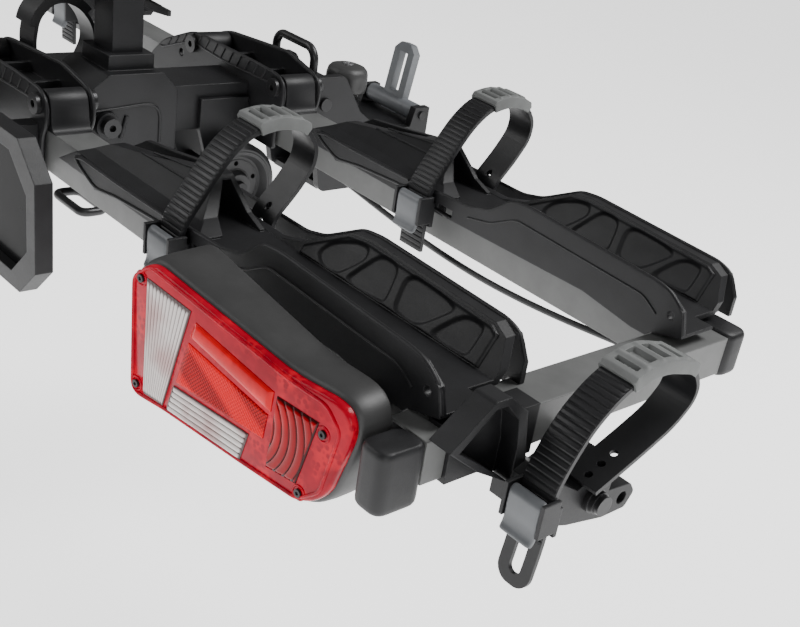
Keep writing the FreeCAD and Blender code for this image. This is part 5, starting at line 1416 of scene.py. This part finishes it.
@dataclass
class LampShell:
    """Lens body with round corners and the deep housing that holds it.

    Attributes:
        side: the wing.
        wardrobe: the materials.
        outline: (u, z) corners of the lens.
        reach: how far its corners are rounded.
        back: depth of the housing's flat back.
        lens: growth of the outline and depth behind the lens's face, for each layer of the lens.
        housing: the same for the housing.
        lug: X and Z of the lug's corners.
        lug_rear: Y of the lug's rear face.
    """

    side: Side
    wardrobe: Wardrobe
    outline: tuple = (
        (0, 7), (17, 23), (142, 7), (181, 9), (190, 4), (193, -7), (179, -54), (161, -68), (112, -69),
        (38, -70), (10, -72), (3, -67),
    )
    reach: float = 11.0
    back: float = 47.0
    lens: tuple = ((0.0, 14.0), (0.0, 2.4), (-0.4, 1.1), (-1.2, 0.3), (-2.4, 0.0))
    housing: tuple = ((-1.0, 5.2), (0.6, 5.2), (1.8, 5.8), (2.8, 8.0), (3.6, 14.0), (4.0, 24.0), (4.0, 99.0))
    lug: tuple = ((472.0, 45.0), (472.0, 61.0), (498.0, 61.0), (498.0, 45.0))
    lug_rear: float = -422.0

    def body(self, name: str, layers: tuple, finish: Finish, slot: str) -> None:
        """Stack of the outline, grown and set back layer by layer.

        No layer goes past the flat back: its depth falls with u by the sine of the lamp's turn.

        Args:
            name: lens or housing.
            layers: growth and depth of each layer.
            finish: its finish.
            slot: name of a material slot, passed on with the piece.
        """
        face = LampFace(self.side, self.wardrobe)
        flat = flat_loop(self.outline, self.reach)
        ahead = np.roll(flat, -1, axis=0) - np.roll(flat, 1, axis=0)
        away = np.stack([ahead[:, 1], -ahead[:, 0]], -1) / np.linalg.norm(ahead, axis=1, keepdims=True)
        away *= np.sign(np.sum(away * (flat - flat.mean(axis=0)), axis=1).mean())
        rings = []
        for grow, depth in layers:
            spots = flat + away * grow
            limit = (self.back - spots[:, 0] * math.sin(face.turn)) / math.cos(face.turn)
            rings.append(face.place(spots[:, 0], spots[:, 1], -np.minimum(depth, limit)))
        node = f"{self.side.word}_lamp_{name}"
        title = f"{node}_body"
        self.wardrobe.piece(title, stack(title, np.stack(rings)), finish, self.side.body, slot, (node,))

    def build(self) -> None:
        """Lens, housing and the lug that reaches to the rail."""
        self.body("lens", self.lens, RED_LENS, "red_lens")
        self.body("housing", self.housing, HOUSING_PLASTIC, "black_plastic")
        title = f"{self.side.word}_lamp_lug"
        mesh = shell(title, np.array(self.lug) * self.side.mirror[:2], self.lug_rear, NEAR_FACE, 0.8)
        self.wardrobe.piece(title, mesh, HOUSING_PLASTIC, self.side.body, "black_plastic")


@dataclass
class TrayRelief:
    """Embossed front wall and rolled rims of one wheel tray.

    Attributes:
        side: the wing.
        wardrobe: the materials.
        word: near or far.
        face: Y of the rail's rear face, that the tray is drawn from.
        full: whether the tray has its fairing at the hinge.
        foot: Y and Z of the sloped wall's foot.
        head: Y and Z of its head.
        span: X of the liner's two ends.
        top: X and height up the wall of the liner's upper edge.
        panel: thickness of the liner.
        pocket_depth: how far a pocket is sunk in it.
        grid: points along and up the liner.
        fairing_foot: Z of the fairing's slope at the rail's rear face.
        fairing_slope: rise of the fairing for each millimetre in Y.
        pockets: the same for the corners of each sunk pocket.
        rims: name, Y, radius and the X and Z corners of each rolled rim.
        fairing_lines: X and Y of the ends of the raised lines on the fairing.
        fairing_rims: rims of the fairing, given as the others are.
    """

    side: Side
    wardrobe: Wardrobe
    word: str
    face: float
    full: bool
    foot: tuple[float, float] = (42.0, 4.5)
    head: tuple[float, float] = (64.0, 38.0)
    span: tuple[float, float] = (338.0, 513.0)
    top: tuple = ((336.0, 5.6), (371.0, 28.6), (388.0, 31.0), (506.0, 27.5), (516.0, 22.5))
    panel: float = 1.7
    pocket_depth: float = 1.5
    grid: tuple[int, int] = (240, 56)
    fairing_foot: float = 11.0
    fairing_slope: float = 22.0 / 29.0
    pockets: tuple = (
        (
            (353.7, 7.0), (358.4, 16.7), (379.6, 27.3), (390.7, 27.4), (393.6, 20.3), (378.3, 1.6),
            (361.9, 0.7),
        ),
        ((386.7, 2.1), (402.0, 26.8), (416.0, 28.4), (421.2, 25.5), (425.4, 2.6), (391.2, 0.4)),
        (
            (434.8, 2.7), (430.2, 23.3), (436.6, 27.8), (471.0, 25.9), (477.1, 23.1), (458.6, 2.3),
            (450.1, 0.4),
        ),
        ((469.0, 1.9), (483.1, 22.1), (488.9, 24.5), (502.3, 23.1), (501.7, 2.5), (473.0, 0.6)),
    )
    rims: tuple = (
        ("front_rim", 68.0, 1.7, (
            (247.0, 4.6), (312.0, 5.0), (333.0, 10.0), (371.0, 30.0), (388.0, 32.0), (506.0, 29.0),
            (518.0, 25.0), (526.4, 10.0),
        )),
        ("rear_rim", -13.4, 1.7, (
            (264.0, 8.6), (329.0, 12.0), (352.0, 18.0), (372.0, 33.0), (390.0, 35.0), (511.0, 31.0),
            (524.0, 29.0), (537.0, 20.0), (541.6, 4.0),
        )),
        ("skirt_line", -15.0, 0.8, ((332.0, 4.5), (356.0, 9.5), (380.0, 22.0), (505.0, 18.0), (518.0, 10.0))),
    )
    fairing_lines: tuple = (((184.0, 13.9), (256.0, 15.2)), ((194.0, 17.8), (249.0, 24.2)))
    fairing_rims: tuple = (
        ("fairing_lower", -15.0, 1.2, (
            (143.0, 5.0), (150.0, 0.5), (171.0, -7.2), (201.0, -2.6), (254.0, 1.2), (311.0, -3.6),
        )),
        ("fairing_upper", -15.0, 1.2, ((143.0, 5.4), (152.0, 8.0), (200.0, 7.6), (262.0, 8.4))),
    )

    def piece(self, name: str, mesh: bpy.types.Mesh) -> None:
        """Hang a piece on the wing."""
        title = f"{self.side.word}_{self.word}_tray_{name}"
        self.wardrobe.piece(title, mesh, BLACK_PLASTIC, self.side.body, "black_plastic")

    def world(self, spots: np.ndarray | list) -> np.ndarray:
        """Spots given from the rail's rear face and top, in the rack's frame."""
        return (np.asarray(spots, float) + np.array([0.0, self.face, RAIL_TOP])) * self.side.mirror

    def liner(self) -> None:
        """Panel on the sloped inside of the front wall.

        Its thickness is the panel's, less the pockets, plus a bell under the upper edge, and it falls to
        nothing at the panel's border by the square root of the distance to it.
        """
        start, stop = self.span
        x = np.linspace(start, stop, self.grid[0])[:, None]
        limit = np.interp(x, *np.array(self.top).T)
        rise = limit * np.linspace(0.02, 1.0, self.grid[1])[None, :]
        along = np.broadcast_to(x, rise.shape)
        height = np.full_like(rise, self.panel)
        for corners in self.pockets:
            depth = inside_polygon(np.array(corners), along, rise)
            height -= self.pocket_depth * smooth_step(-1.6, 1.2, depth)
        height = np.clip(height + 0.8 * np.exp(-((limit - rise - 1.6) / 1.3) ** 2), 0.15, 3.0)
        sides = np.minimum(along - start, stop - along) / 2.0
        levels = np.minimum(rise - rise[:, :1], limit - rise) / 0.9
        height *= np.clip(np.minimum(sides, levels), 0.0, 1.0) ** 0.5
        foot, head = np.array(self.foot), np.array(self.head)
        way = (head - foot) / np.linalg.norm(head - foot)
        out = np.array([-way[1], way[0]])
        flat = foot + rise[..., None] * way
        spots = flat + out * height[..., None]
        under = flat[:, [0, -1]] - out * 0.5
        top = self.world(np.stack([along, spots[..., 0], spots[..., 1]], -1))
        bottom = self.world(np.stack([along[:, :2], under[..., 0], under[..., 1]], -1))
        self.piece("liner", slab("liner", top, bottom, 40.0))

    def line(self, name: str, spots: list[tuple[float, ...]], radius: float) -> None:
        """Round line along spots given from the rail's rear face and top."""
        self.piece(name, bead(name, self.world(rounded(spots, 6.0)), radius))

    def rolled(self, rims: tuple) -> None:
        """Rims of the given names, each in a plane of constant Y."""
        for name, y, radius, corners in rims:
            self.line(name, [(x, y, z) for x, z in corners], radius)

    def build(self) -> None:
        """Liner, rims and the fairing's lines, which lie on its slope."""
        self.liner()
        self.rolled(self.rims)
        if self.full:
            for number, run in enumerate(self.fairing_lines):
                first, last = ((x, y, self.fairing_foot + y * self.fairing_slope) for x, y in run)
                middle = tuple(np.mean([first, last], axis=0))
                self.line(f"fairing_line{number}", [first, middle, last], 0.9)
            self.rolled(self.fairing_rims)


@dataclass
class CentreMoulding:
    """Rims and stiffening ribs on the cheeks of one centre moulding.

    Attributes:
        wardrobe: the materials.
        word: near or far.
        face: Y of the rail's rear face.
        tail: how far the moulding reaches to the left.
        rear_lift: height of the rear cheek's shoulder.
        front_lift: height of the front cheek's shoulder.
        rim_radius: radius of the rolled rims.
        rib_pitch: distance between ribs.
        rib_lean: how far a rib leans over its height.
    """

    wardrobe: Wardrobe
    word: str
    face: float
    tail: float
    rear_lift: float
    front_lift: float
    rim_radius: float = 1.9
    rib_pitch: float = 13.0
    rib_lean: float = 7.0

    def cheek(self, lift: float) -> list[tuple[float, float]]:
        """Visible outline of a cheek, from the left end over the top to the right hinge.

        Args:
            lift: height of its shoulder.

        Returns:
            X and Z of its corners.
        """
        return [
            (6.0 - self.tail, -23.0), (0.4 - self.tail, -13.0), (24.0 - self.tail, 8.0), (-76.0, 26.5),
            (-62.0, 30.5), (28.0, lift), (66.0, 30.5), (74.0, 26.0), (77.0, 19.0), (77.0, 6.0), (70.6, -4.0),
            (68.4, -34.0),
        ]

    def piece(self, name: str, mesh: bpy.types.Mesh) -> None:
        """Hang a piece on the platform."""
        self.wardrobe.piece(f"{self.word}_moulding_{name}", mesh, BLACK_PLASTIC, "platform", "black_plastic")

    def rim(self, name: str, y: float, lift: float) -> None:
        """Rolled rim of one cheek at a Y measured from the rail's rear face."""
        line = rounded([(x, self.face + y, RAIL_TOP + z) for x, z in self.cheek(lift)], 7.0)
        self.piece(name, bead(name, line, self.rim_radius))

    def ribs(self, y: float, lift: float) -> None:
        """Inner rim below the top one, and the slanting ribs between the two.

        The inner rim lies 9 mm below the top one, plus 3 mm times the cosine of X / 40.

        Args:
            y: Y of the ribs from the rail's rear face.
            lift: height of the cheek's shoulder.
        """
        upper = np.array(self.cheek(lift)[2:9])
        x = np.linspace(20.0 - self.tail, 70.0, 60)
        top = np.interp(x, upper[:, 0], upper[:, 1])
        drop = 9.0 + 3.0 * np.cos(x / 40.0)
        spots = np.stack([x, np.full_like(x, self.face + y), RAIL_TOP + top - drop], -1)
        self.piece("inner_rim", bead("inner_rim", spots, 1.1))
        for number, start in enumerate(np.arange(30.0 - self.tail, 54.0, self.rib_pitch)):
            at = start + self.rib_lean * np.array([0.0, 0.5, 1.0])
            z = RAIL_TOP + np.interp(at, x, top) - np.interp(at, x, drop) * np.array([1.0, 0.5, 0.0])
            line = np.stack([at, np.full_like(at, self.face + y), z], -1)
            self.piece(f"rib{number}", bead(f"rib{number}", line, 0.9, sides=6))

    def build(self) -> None:
        """Rims of both cheeks and the ribs on the rear one."""
        self.rim("rear_rim", -4.2, self.rear_lift)
        self.rim("front_rim", 34.2, self.front_lift)
        self.ribs(-6.0, self.rear_lift)


@dataclass
class KnuckleHood:
    """Black cover over a rail's hinge knuckle, which turns with the wing.

    Attributes:
        side: the wing.
        wardrobe: the materials.
        word: near or far.
        face: Y of the rail's rear face.
        pin: X of the hinge pin and its height over the rail.
        radius: outer radius of the cover.
        sweep: X and Z from the round part down to the rail.
        base: X and Z of the corners below.
        wall: how far the cover stands past both faces of the rail.
        rail: width of the rail.
    """

    side: Side
    wardrobe: Wardrobe
    word: str
    face: float
    pin: tuple[float, float] = (66.0, 20.0)
    radius: float = 10.4
    sweep: tuple = ((77.0, 18.5), (77.6, 12.0), (78.2, 7.0), (79.2, 3.2), (80.8, 1.2), (84.0, 0.4))
    base: tuple = ((84.0, -0.3), (39.6, -0.3), (39.6, 7.4), (52.0, 8.0))
    wall: float = 0.8
    rail: float = 30.0

    def build(self) -> None:
        """Cover: a circle's arc over the pin, then a hollow sweep down to the rail top."""
        turn = np.radians(np.linspace(200.0, 20.0, 19))
        arc = np.array(self.pin) + self.radius * np.stack([np.cos(turn), np.sin(turn)], -1)
        outline = np.concatenate([arc, np.array(self.sweep), np.array(self.base)])
        spots = outline * self.side.mirror[:2] + np.array([0.0, RAIL_TOP])
        title = f"{self.side.word}_{self.word}_knuckle_hood"
        mesh = shell(title, spots, self.face - self.wall, self.face + self.rail + self.wall, 0.8)
        self.wardrobe.piece(title, mesh, BLACK_PLASTIC, self.side.body, "black_plastic")


@dataclass
class BuckleTabs:
    """Thumb tabs of one wing's three buckles, rounded and curled at the tip.

    Attributes:
        side: the wing.
        wardrobe: the materials.
        profile: Y and Z of a tab's corners, before it is set back.
        ends: place across the strap and size of each layer; the sizes draw the two ends in.
        core: Y that the layers are drawn in towards.
        waist: Z that they are drawn in towards.
        back: how far a tab is set back from its strap's face.
        outer_shift: how far the outer tab stands in front of and above the others' place.
    """

    side: Side
    wardrobe: Wardrobe
    profile: tuple = (
        (-9.6, 6.4), (-13.4, 6.2), (-16.0, 3.4), (-16.3, -6.0), (-15.9, -13.0), (-16.6, -18.0),
        (-18.7, -21.6), (-17.6, -23.0), (-14.8, -21.4), (-12.8, -17.0), (-12.2, -12.0), (-12.0, -1.0),
        (-9.2, 0.8),
    )
    ends: tuple = (
        (0.4, 0.72), (0.8, 0.88), (1.8, 0.97), (3.4, 1.0), (21.6, 1.0), (23.2, 0.97), (24.2, 0.88),
        (24.6, 0.72),
    )
    core: float = -13.2
    waist: float = -8.0
    back: float = -15.0
    outer_shift: tuple[float, float] = (43.5, -34.0)

    def build(self) -> None:
        """Profile across each strap, drawn in at both ends: fully in Y and by a tenth of that in Z."""
        ahead, above = self.outer_shift
        spots = (
            ("near", INNER_STRAP_LEFT, NEAR_FACE, RAIL_TOP),
            ("far", INNER_STRAP_LEFT, FAR_FACE, RAIL_TOP),
            ("outer", OUTER_STRAP_LEFT, NEAR_FACE + ahead + self.side.holder_shift, RAIL_TOP + above),
        )
        flat = flat_loop(self.profile, 2.4)
        for name, left, face, lift in spots:
            layers = []
            for across, share in self.ends:
                x = np.full(len(flat), (left + across) * self.side.value)
                y = self.core + (flat[:, 0] - self.core) * share
                z = self.waist + (flat[:, 1] - self.waist) * (0.9 + 0.1 * share)
                layers.append(np.stack([x, y + face + self.back, z + lift], -1))
            node = f"{self.side.word}_{name}_buckle_lever"
            title = f"{node}_tab"
            mesh = stack(title, np.stack(layers))
            self.wardrobe.piece(title, mesh, GREY_PLASTIC, f"{node}_body", "grey_plastic", (node,))


@dataclass
class CrossbeamCap:
    """Rounded end caps of one wing's crossbeam.

    Attributes:
        side: the wing.
        wardrobe: the materials.
        rear: X and Y of the rear cap's corners.
        front: X and Y of the front cap's corners.
        edge: distance from the nearer end and size of each layer of a soft edge.
        corner: how far the upright corners are rounded.
        rear_span: Z of the rear cap's bottom and top.
        front_span: Z of the front cap's bottom and top.
    """

    side: Side
    wardrobe: Wardrobe
    rear: tuple = ((529.0, -414.0), (551.4, -412.6), (551.4, -445.0), (529.0, -445.0))
    front: tuple = ((515.8, -130.4), (551.4, -130.4), (551.4, -107.4), (515.8, -107.4))
    edge: tuple = ((0.0, 0.86), (0.8, 0.93), (2.4, 0.985), (4.5, 1.0))
    corner: float = 8.0
    rear_span: tuple[float, float] = (31.0, 71.0)
    front_span: tuple[float, float] = (39.0, 72.0)

    def cap(self, name: str, outline: tuple, span: tuple[float, float], stands_for: tuple = ()) -> None:
        """Upright block with round corners and a soft top and bottom edge.

        Args:
            name: the cap's name.
            outline: X and Y of its corners.
            span: Z of its bottom and top.
            stands_for: solids of the frame that it replaces.
        """
        low, high = span
        flat = flat_loop(outline, self.corner)
        middle = flat.mean(axis=0)
        levels = [(low + way, share) for way, share in self.edge]
        levels += [(high - way, share) for way, share in reversed(self.edge)]
        layers = []
        for z, share in levels:
            ring = middle + (flat - middle) * share
            layers.append(np.stack([ring[:, 0] * self.side.value, ring[:, 1], np.full(len(ring), z)], -1))
        title = f"{self.side.word}_{name}_cap"
        mesh = stack(title, np.stack(layers))
        self.wardrobe.piece(title, mesh, BLACK_PLASTIC, self.side.body, "black_plastic", stands_for)

    def build(self) -> None:
        """Rear cap, deeper than the tube, and front cap."""
        self.cap("rear_beam", self.rear, self.rear_span, (f"{self.side.word}_crossbeam_caps",))
        self.cap("front_beam", self.front, self.front_span)


@dataclass
class WheelFace:
    """Rings on both faces of one transport wheel.

    Attributes:
        side: the wing that the wheel is on.
        wardrobe: the materials.
        centre: Y and Z of the axle.
        tread: radius of the rings at the tread's edges.
        web: radii of the rings on the web and round the hub.
        web_half: half of the web's thickness.
    """

    side: Side
    wardrobe: Wardrobe
    centre: tuple[float, float] = (-196.0, 1.0)
    tread: float = 33.4
    web: tuple[float, float] = (24.0, 15.0)
    web_half: float = 4.0

    def build(self) -> None:
        """Circles at the tread's edges, on the web and round the hub, sunk by half of their thickness."""
        box = np.array(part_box(f"{self.side.word}_transport_wheel")) / MM
        low, high = float(box[0][0]), float(box[1][0])
        middle = (low + high) / 2
        rings = [(self.tread, x, 1.2) for x in (low, high)]
        faces = (middle - self.web_half, middle + self.web_half)
        rings += [(radius, x, 0.9) for radius in self.web for x in faces]
        turn = np.linspace(0.0, 2.0 * math.pi, CIRCLE_STEPS, endpoint=False)
        for number, (radius, x, thick) in enumerate(rings):
            depth = np.full_like(turn, x + math.copysign(thick * 0.5, middle - x))
            y = self.centre[0] + radius * np.cos(turn)
            z = self.centre[1] + radius * np.sin(turn)
            title = f"{self.side.word}_wheel_ring{number}"
            mesh = bead(title, np.stack([depth, y, z], -1), thick, True)
            self.wardrobe.piece(title, mesh, WHEEL_RUBBER, f"{self.side.word}_wheel_body", "wheel_rubber")


@dataclass
class ClampKnob:
    """Domed clamp knob with soft flutes round the key barrel.

    Attributes:
        wardrobe: the materials.
        centre: X and Y of the stem.
        flutes: number of flutes.
        flute_depth: depth of a flute as a share of the radius.
        profile: radius and Z, from the underside up to the top.
        grip: Z where the flutes are deepest, and how soon they fade above and below it.
        levels: circles from bottom to top.
        sides: points in a circle.
    """

    wardrobe: Wardrobe
    centre: tuple[float, float] = (0.0, -35.0)
    flutes: int = 8
    flute_depth: float = 0.09
    profile: tuple = (
        (0.0, 57.4), (12.0, 57.4), (12.2, 62.0), (17.0, 62.6), (20.4, 65.0), (21.6, 69.0), (21.8, 75.0),
        (21.4, 81.0), (20.0, 85.0), (17.0, 88.0), (12.0, 89.6), (6.6, 90.0), (0.0, 90.0),
    )
    grip: tuple[float, float] = (75.0, 9.0)
    levels: int = 49
    sides: int = 96

    def build(self) -> None:
        """Turn the profile round the stem.

        The flutes sink by half of 1 plus the cosine of the turn times their number, times a bell of the height.
        """
        radius, height = np.array(self.profile).T
        steps = np.linspace(0.0, 1.0, self.levels)
        at = np.linspace(0.0, 1.0, len(radius))
        radius = np.interp(steps, at, radius)
        height = np.interp(steps, at, height)
        turn = np.arange(self.sides) * (2.0 * math.pi / self.sides)
        wave = 0.5 + 0.5 * np.cos(self.flutes * turn)
        sink = np.exp(-((height - self.grip[0]) / self.grip[1]) ** 2)[:, None] * wave[None, :]
        reach = radius[:, None] * (1.0 - self.flute_depth * sink)
        x = self.centre[0] + reach * np.cos(turn)[None, :]
        y = self.centre[1] + reach * np.sin(turn)[None, :]
        spots = np.stack([x, y, np.broadcast_to(height[:, None], x.shape)], -1)
        dome = stack("clamp_knob_dome", spots, Ends.POINTS)
        self.wardrobe.piece(
            "clamp_knob_dome", dome, HOUSING_PLASTIC, "clamp_knob_body", "grey_plastic", ("clamp_knob",),
        )


@dataclass
class PedalLoop:
    """Foot pedal bent from round bar: a loop on two arms and a hub.

    Attributes:
        wardrobe: the materials.
        level: Z of the loop.
        pivot: Y and Z of the pivot pin.
        front: Y of the loop's front bar.
        rear: Y of its rear bar.
        half: half of its width.
    """

    wardrobe: Wardrobe
    level: float = -20.0
    pivot: tuple[float, float] = (-262.0, 25.0)
    front: float = -309.0
    rear: float = -331.0
    half: float = 24.0

    def bar(self, name: str, line: np.ndarray, radius: float, sides: int, stands_for: tuple = ()) -> None:
        """One round bar of the pedal.

        Args:
            name: the bar's name.
            line: its middle line.
            radius: its radius.
            sides: points round it.
            stands_for: solids of the frame that it replaces; only the loop has them, and it alone is closed.
        """
        title = f"foot_pedal_{name}"
        mesh = bead(title, line, radius, bool(stands_for), sides)
        self.wardrobe.piece(title, mesh, BLACK_STEEL, "pedal_body", "black_steel", stands_for)

    def build(self) -> None:
        """Loop, arms up to the pivot and the hub on the pivot pin."""
        low, half = self.level, self.half
        corners = [(x, y, low) for x, y in (
            (half, self.rear), (half, self.front), (-half, self.front), (-half, self.rear),
        )]
        self.bar("loop", rounded(corners, 8.0, True), 3.9, 12, ("foot_pedal",))
        for side in Side:
            x = (half + 0.5) * side.value
            arm = rounded([(x, self.front, low), (x, self.front + 9.0, low + 2.0), (x, *self.pivot)], 7.0)
            self.bar(f"{side.word}_arm", arm, 3.4, 12)
        self.bar("hub", np.array([(x, *self.pivot) for x in (-28.0, 0.0, 28.0)]), 5.0, 20)


@dataclass
class BracketDetail:
    """Ribs and rings cast on the flanks of the mast bracket.

    Attributes:
        wardrobe: the materials.
        flank: X of the flanks.
        details: name, radius, reach of the rounding and the Y and Z corners of each bead.
    """

    wardrobe: Wardrobe
    flank: float = 32.2
    details: tuple = (
        ("rim", 1.3, 9.0, ((60.0, -3.0), (112.0, 1.0), (121.0, -6.0), (121.0, -34.0))),
        ("rib", 2.0, 0.0, ((89.0, -8.4), (86.4, -18.0), (83.6, -27.4))),
    )

    def build(self) -> None:
        """Sunk field's rim and the short upright rib beside the bolt, on both flanks."""
        for side in Side:
            for name, radius, reach, corners in self.details:
                spots = np.array([(self.flank * side.value, NEAR_FACE + y, RAIL_TOP + z) for y, z in corners])
                line = rounded(spots, reach) if reach > 0 else spots
                title = f"{side.word}_bracket_{name}"
                self.wardrobe.piece(title, bead(title, line, radius), BLACK_PAINT, "platform", "black_paint")


@dataclass
class LampLead:
    """Lamp lead that hangs between clips below the far rail, as one spline.

    Attributes:
        wardrobe: the materials.
        y: Y that the route is given from.
        z: Z that the route is given from.
        radius: the lead's radius.
        route: spots that the spline is drawn through.
    """

    wardrobe: Wardrobe
    y: float = -150.0
    z: float = 39.2
    radius: float = 2.5
    route: tuple = (
        (100.0, 4.0, 0.0), (160.0, -3.0, -1.5), (220.0, -9.0, -5.0), (280.0, -12.0, -8.5),
        (340.0, -13.0, -10.0), (400.0, -11.0, -8.0), (458.0, -6.0, -4.0), (512.0, 1.0, 0.0),
    )

    def build(self) -> None:
        """Lead through the same spots as the frame's, as a round NURBS curve."""
        spots = (np.array(self.route) + np.array([0.0, self.y, self.z])) * MM
        curve = bpy.data.curves.new("lamp_lead_cord", "CURVE")
        curve.dimensions = "3D"
        spline = curve.splines.new("NURBS")
        spline.points.add(len(spots) - 1)
        for point, spot in zip(spline.points, spots):
            point.co = (*spot.tolist(), 1.0)
        spline.order_u = 3
        spline.use_endpoint_u = True
        curve.resolution_u = 12
        curve.bevel_depth = self.radius * MM
        curve.bevel_resolution = 4
        curve.use_fill_caps = True
        curve.materials.append(self.wardrobe.material(CABLE_RUBBER))
        thing = bpy.data.objects.new("lamp_lead_cord", curve)
        bpy.context.scene.collection.objects.link(thing)
        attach(thing, "right_wing")
        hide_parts("lamp_lead")


def main() -> None:
    """Build every sub-assembly in order and report each one."""
    logging.basicConfig(level=logging.INFO, format="%(message)s")
    Studio().build()
    wardrobe = Wardrobe()
    wardrobe.dress_frame()
    LOG.info("frame dressed")
    for side in Side:
        assemblies = [
            WheelStraps(side, wardrobe),
            LampShell(side, wardrobe),
            LampFace(side, wardrobe),
            TrayRelief(side, wardrobe, "near", NEAR_FACE, True),
            TrayRelief(side, wardrobe, "far", FAR_FACE, side is Side.RIGHT),
            KnuckleHood(side, wardrobe, "near", NEAR_FACE),
            KnuckleHood(side, wardrobe, "far", FAR_FACE),
            BuckleTabs(side, wardrobe),
            CrossbeamCap(side, wardrobe),
            WheelFace(side, wardrobe),
        ]
        for assembly in assemblies:
            assembly.build()
        LOG.info("%s wing built", side.word)
    CentreMoulding(wardrobe, "near", NEAR_FACE, 114.0, 32.0, 37.0).build()
    CentreMoulding(wardrobe, "far", FAR_FACE, 142.0, 31.5, 38.5).build()
    BracketDetail(wardrobe).build()
    ClampKnob(wardrobe).build()
    PedalLoop(wardrobe).build()
    LampLead(wardrobe).build()
    LOG.info("centre built")


if __name__ == "__main__":
    main()
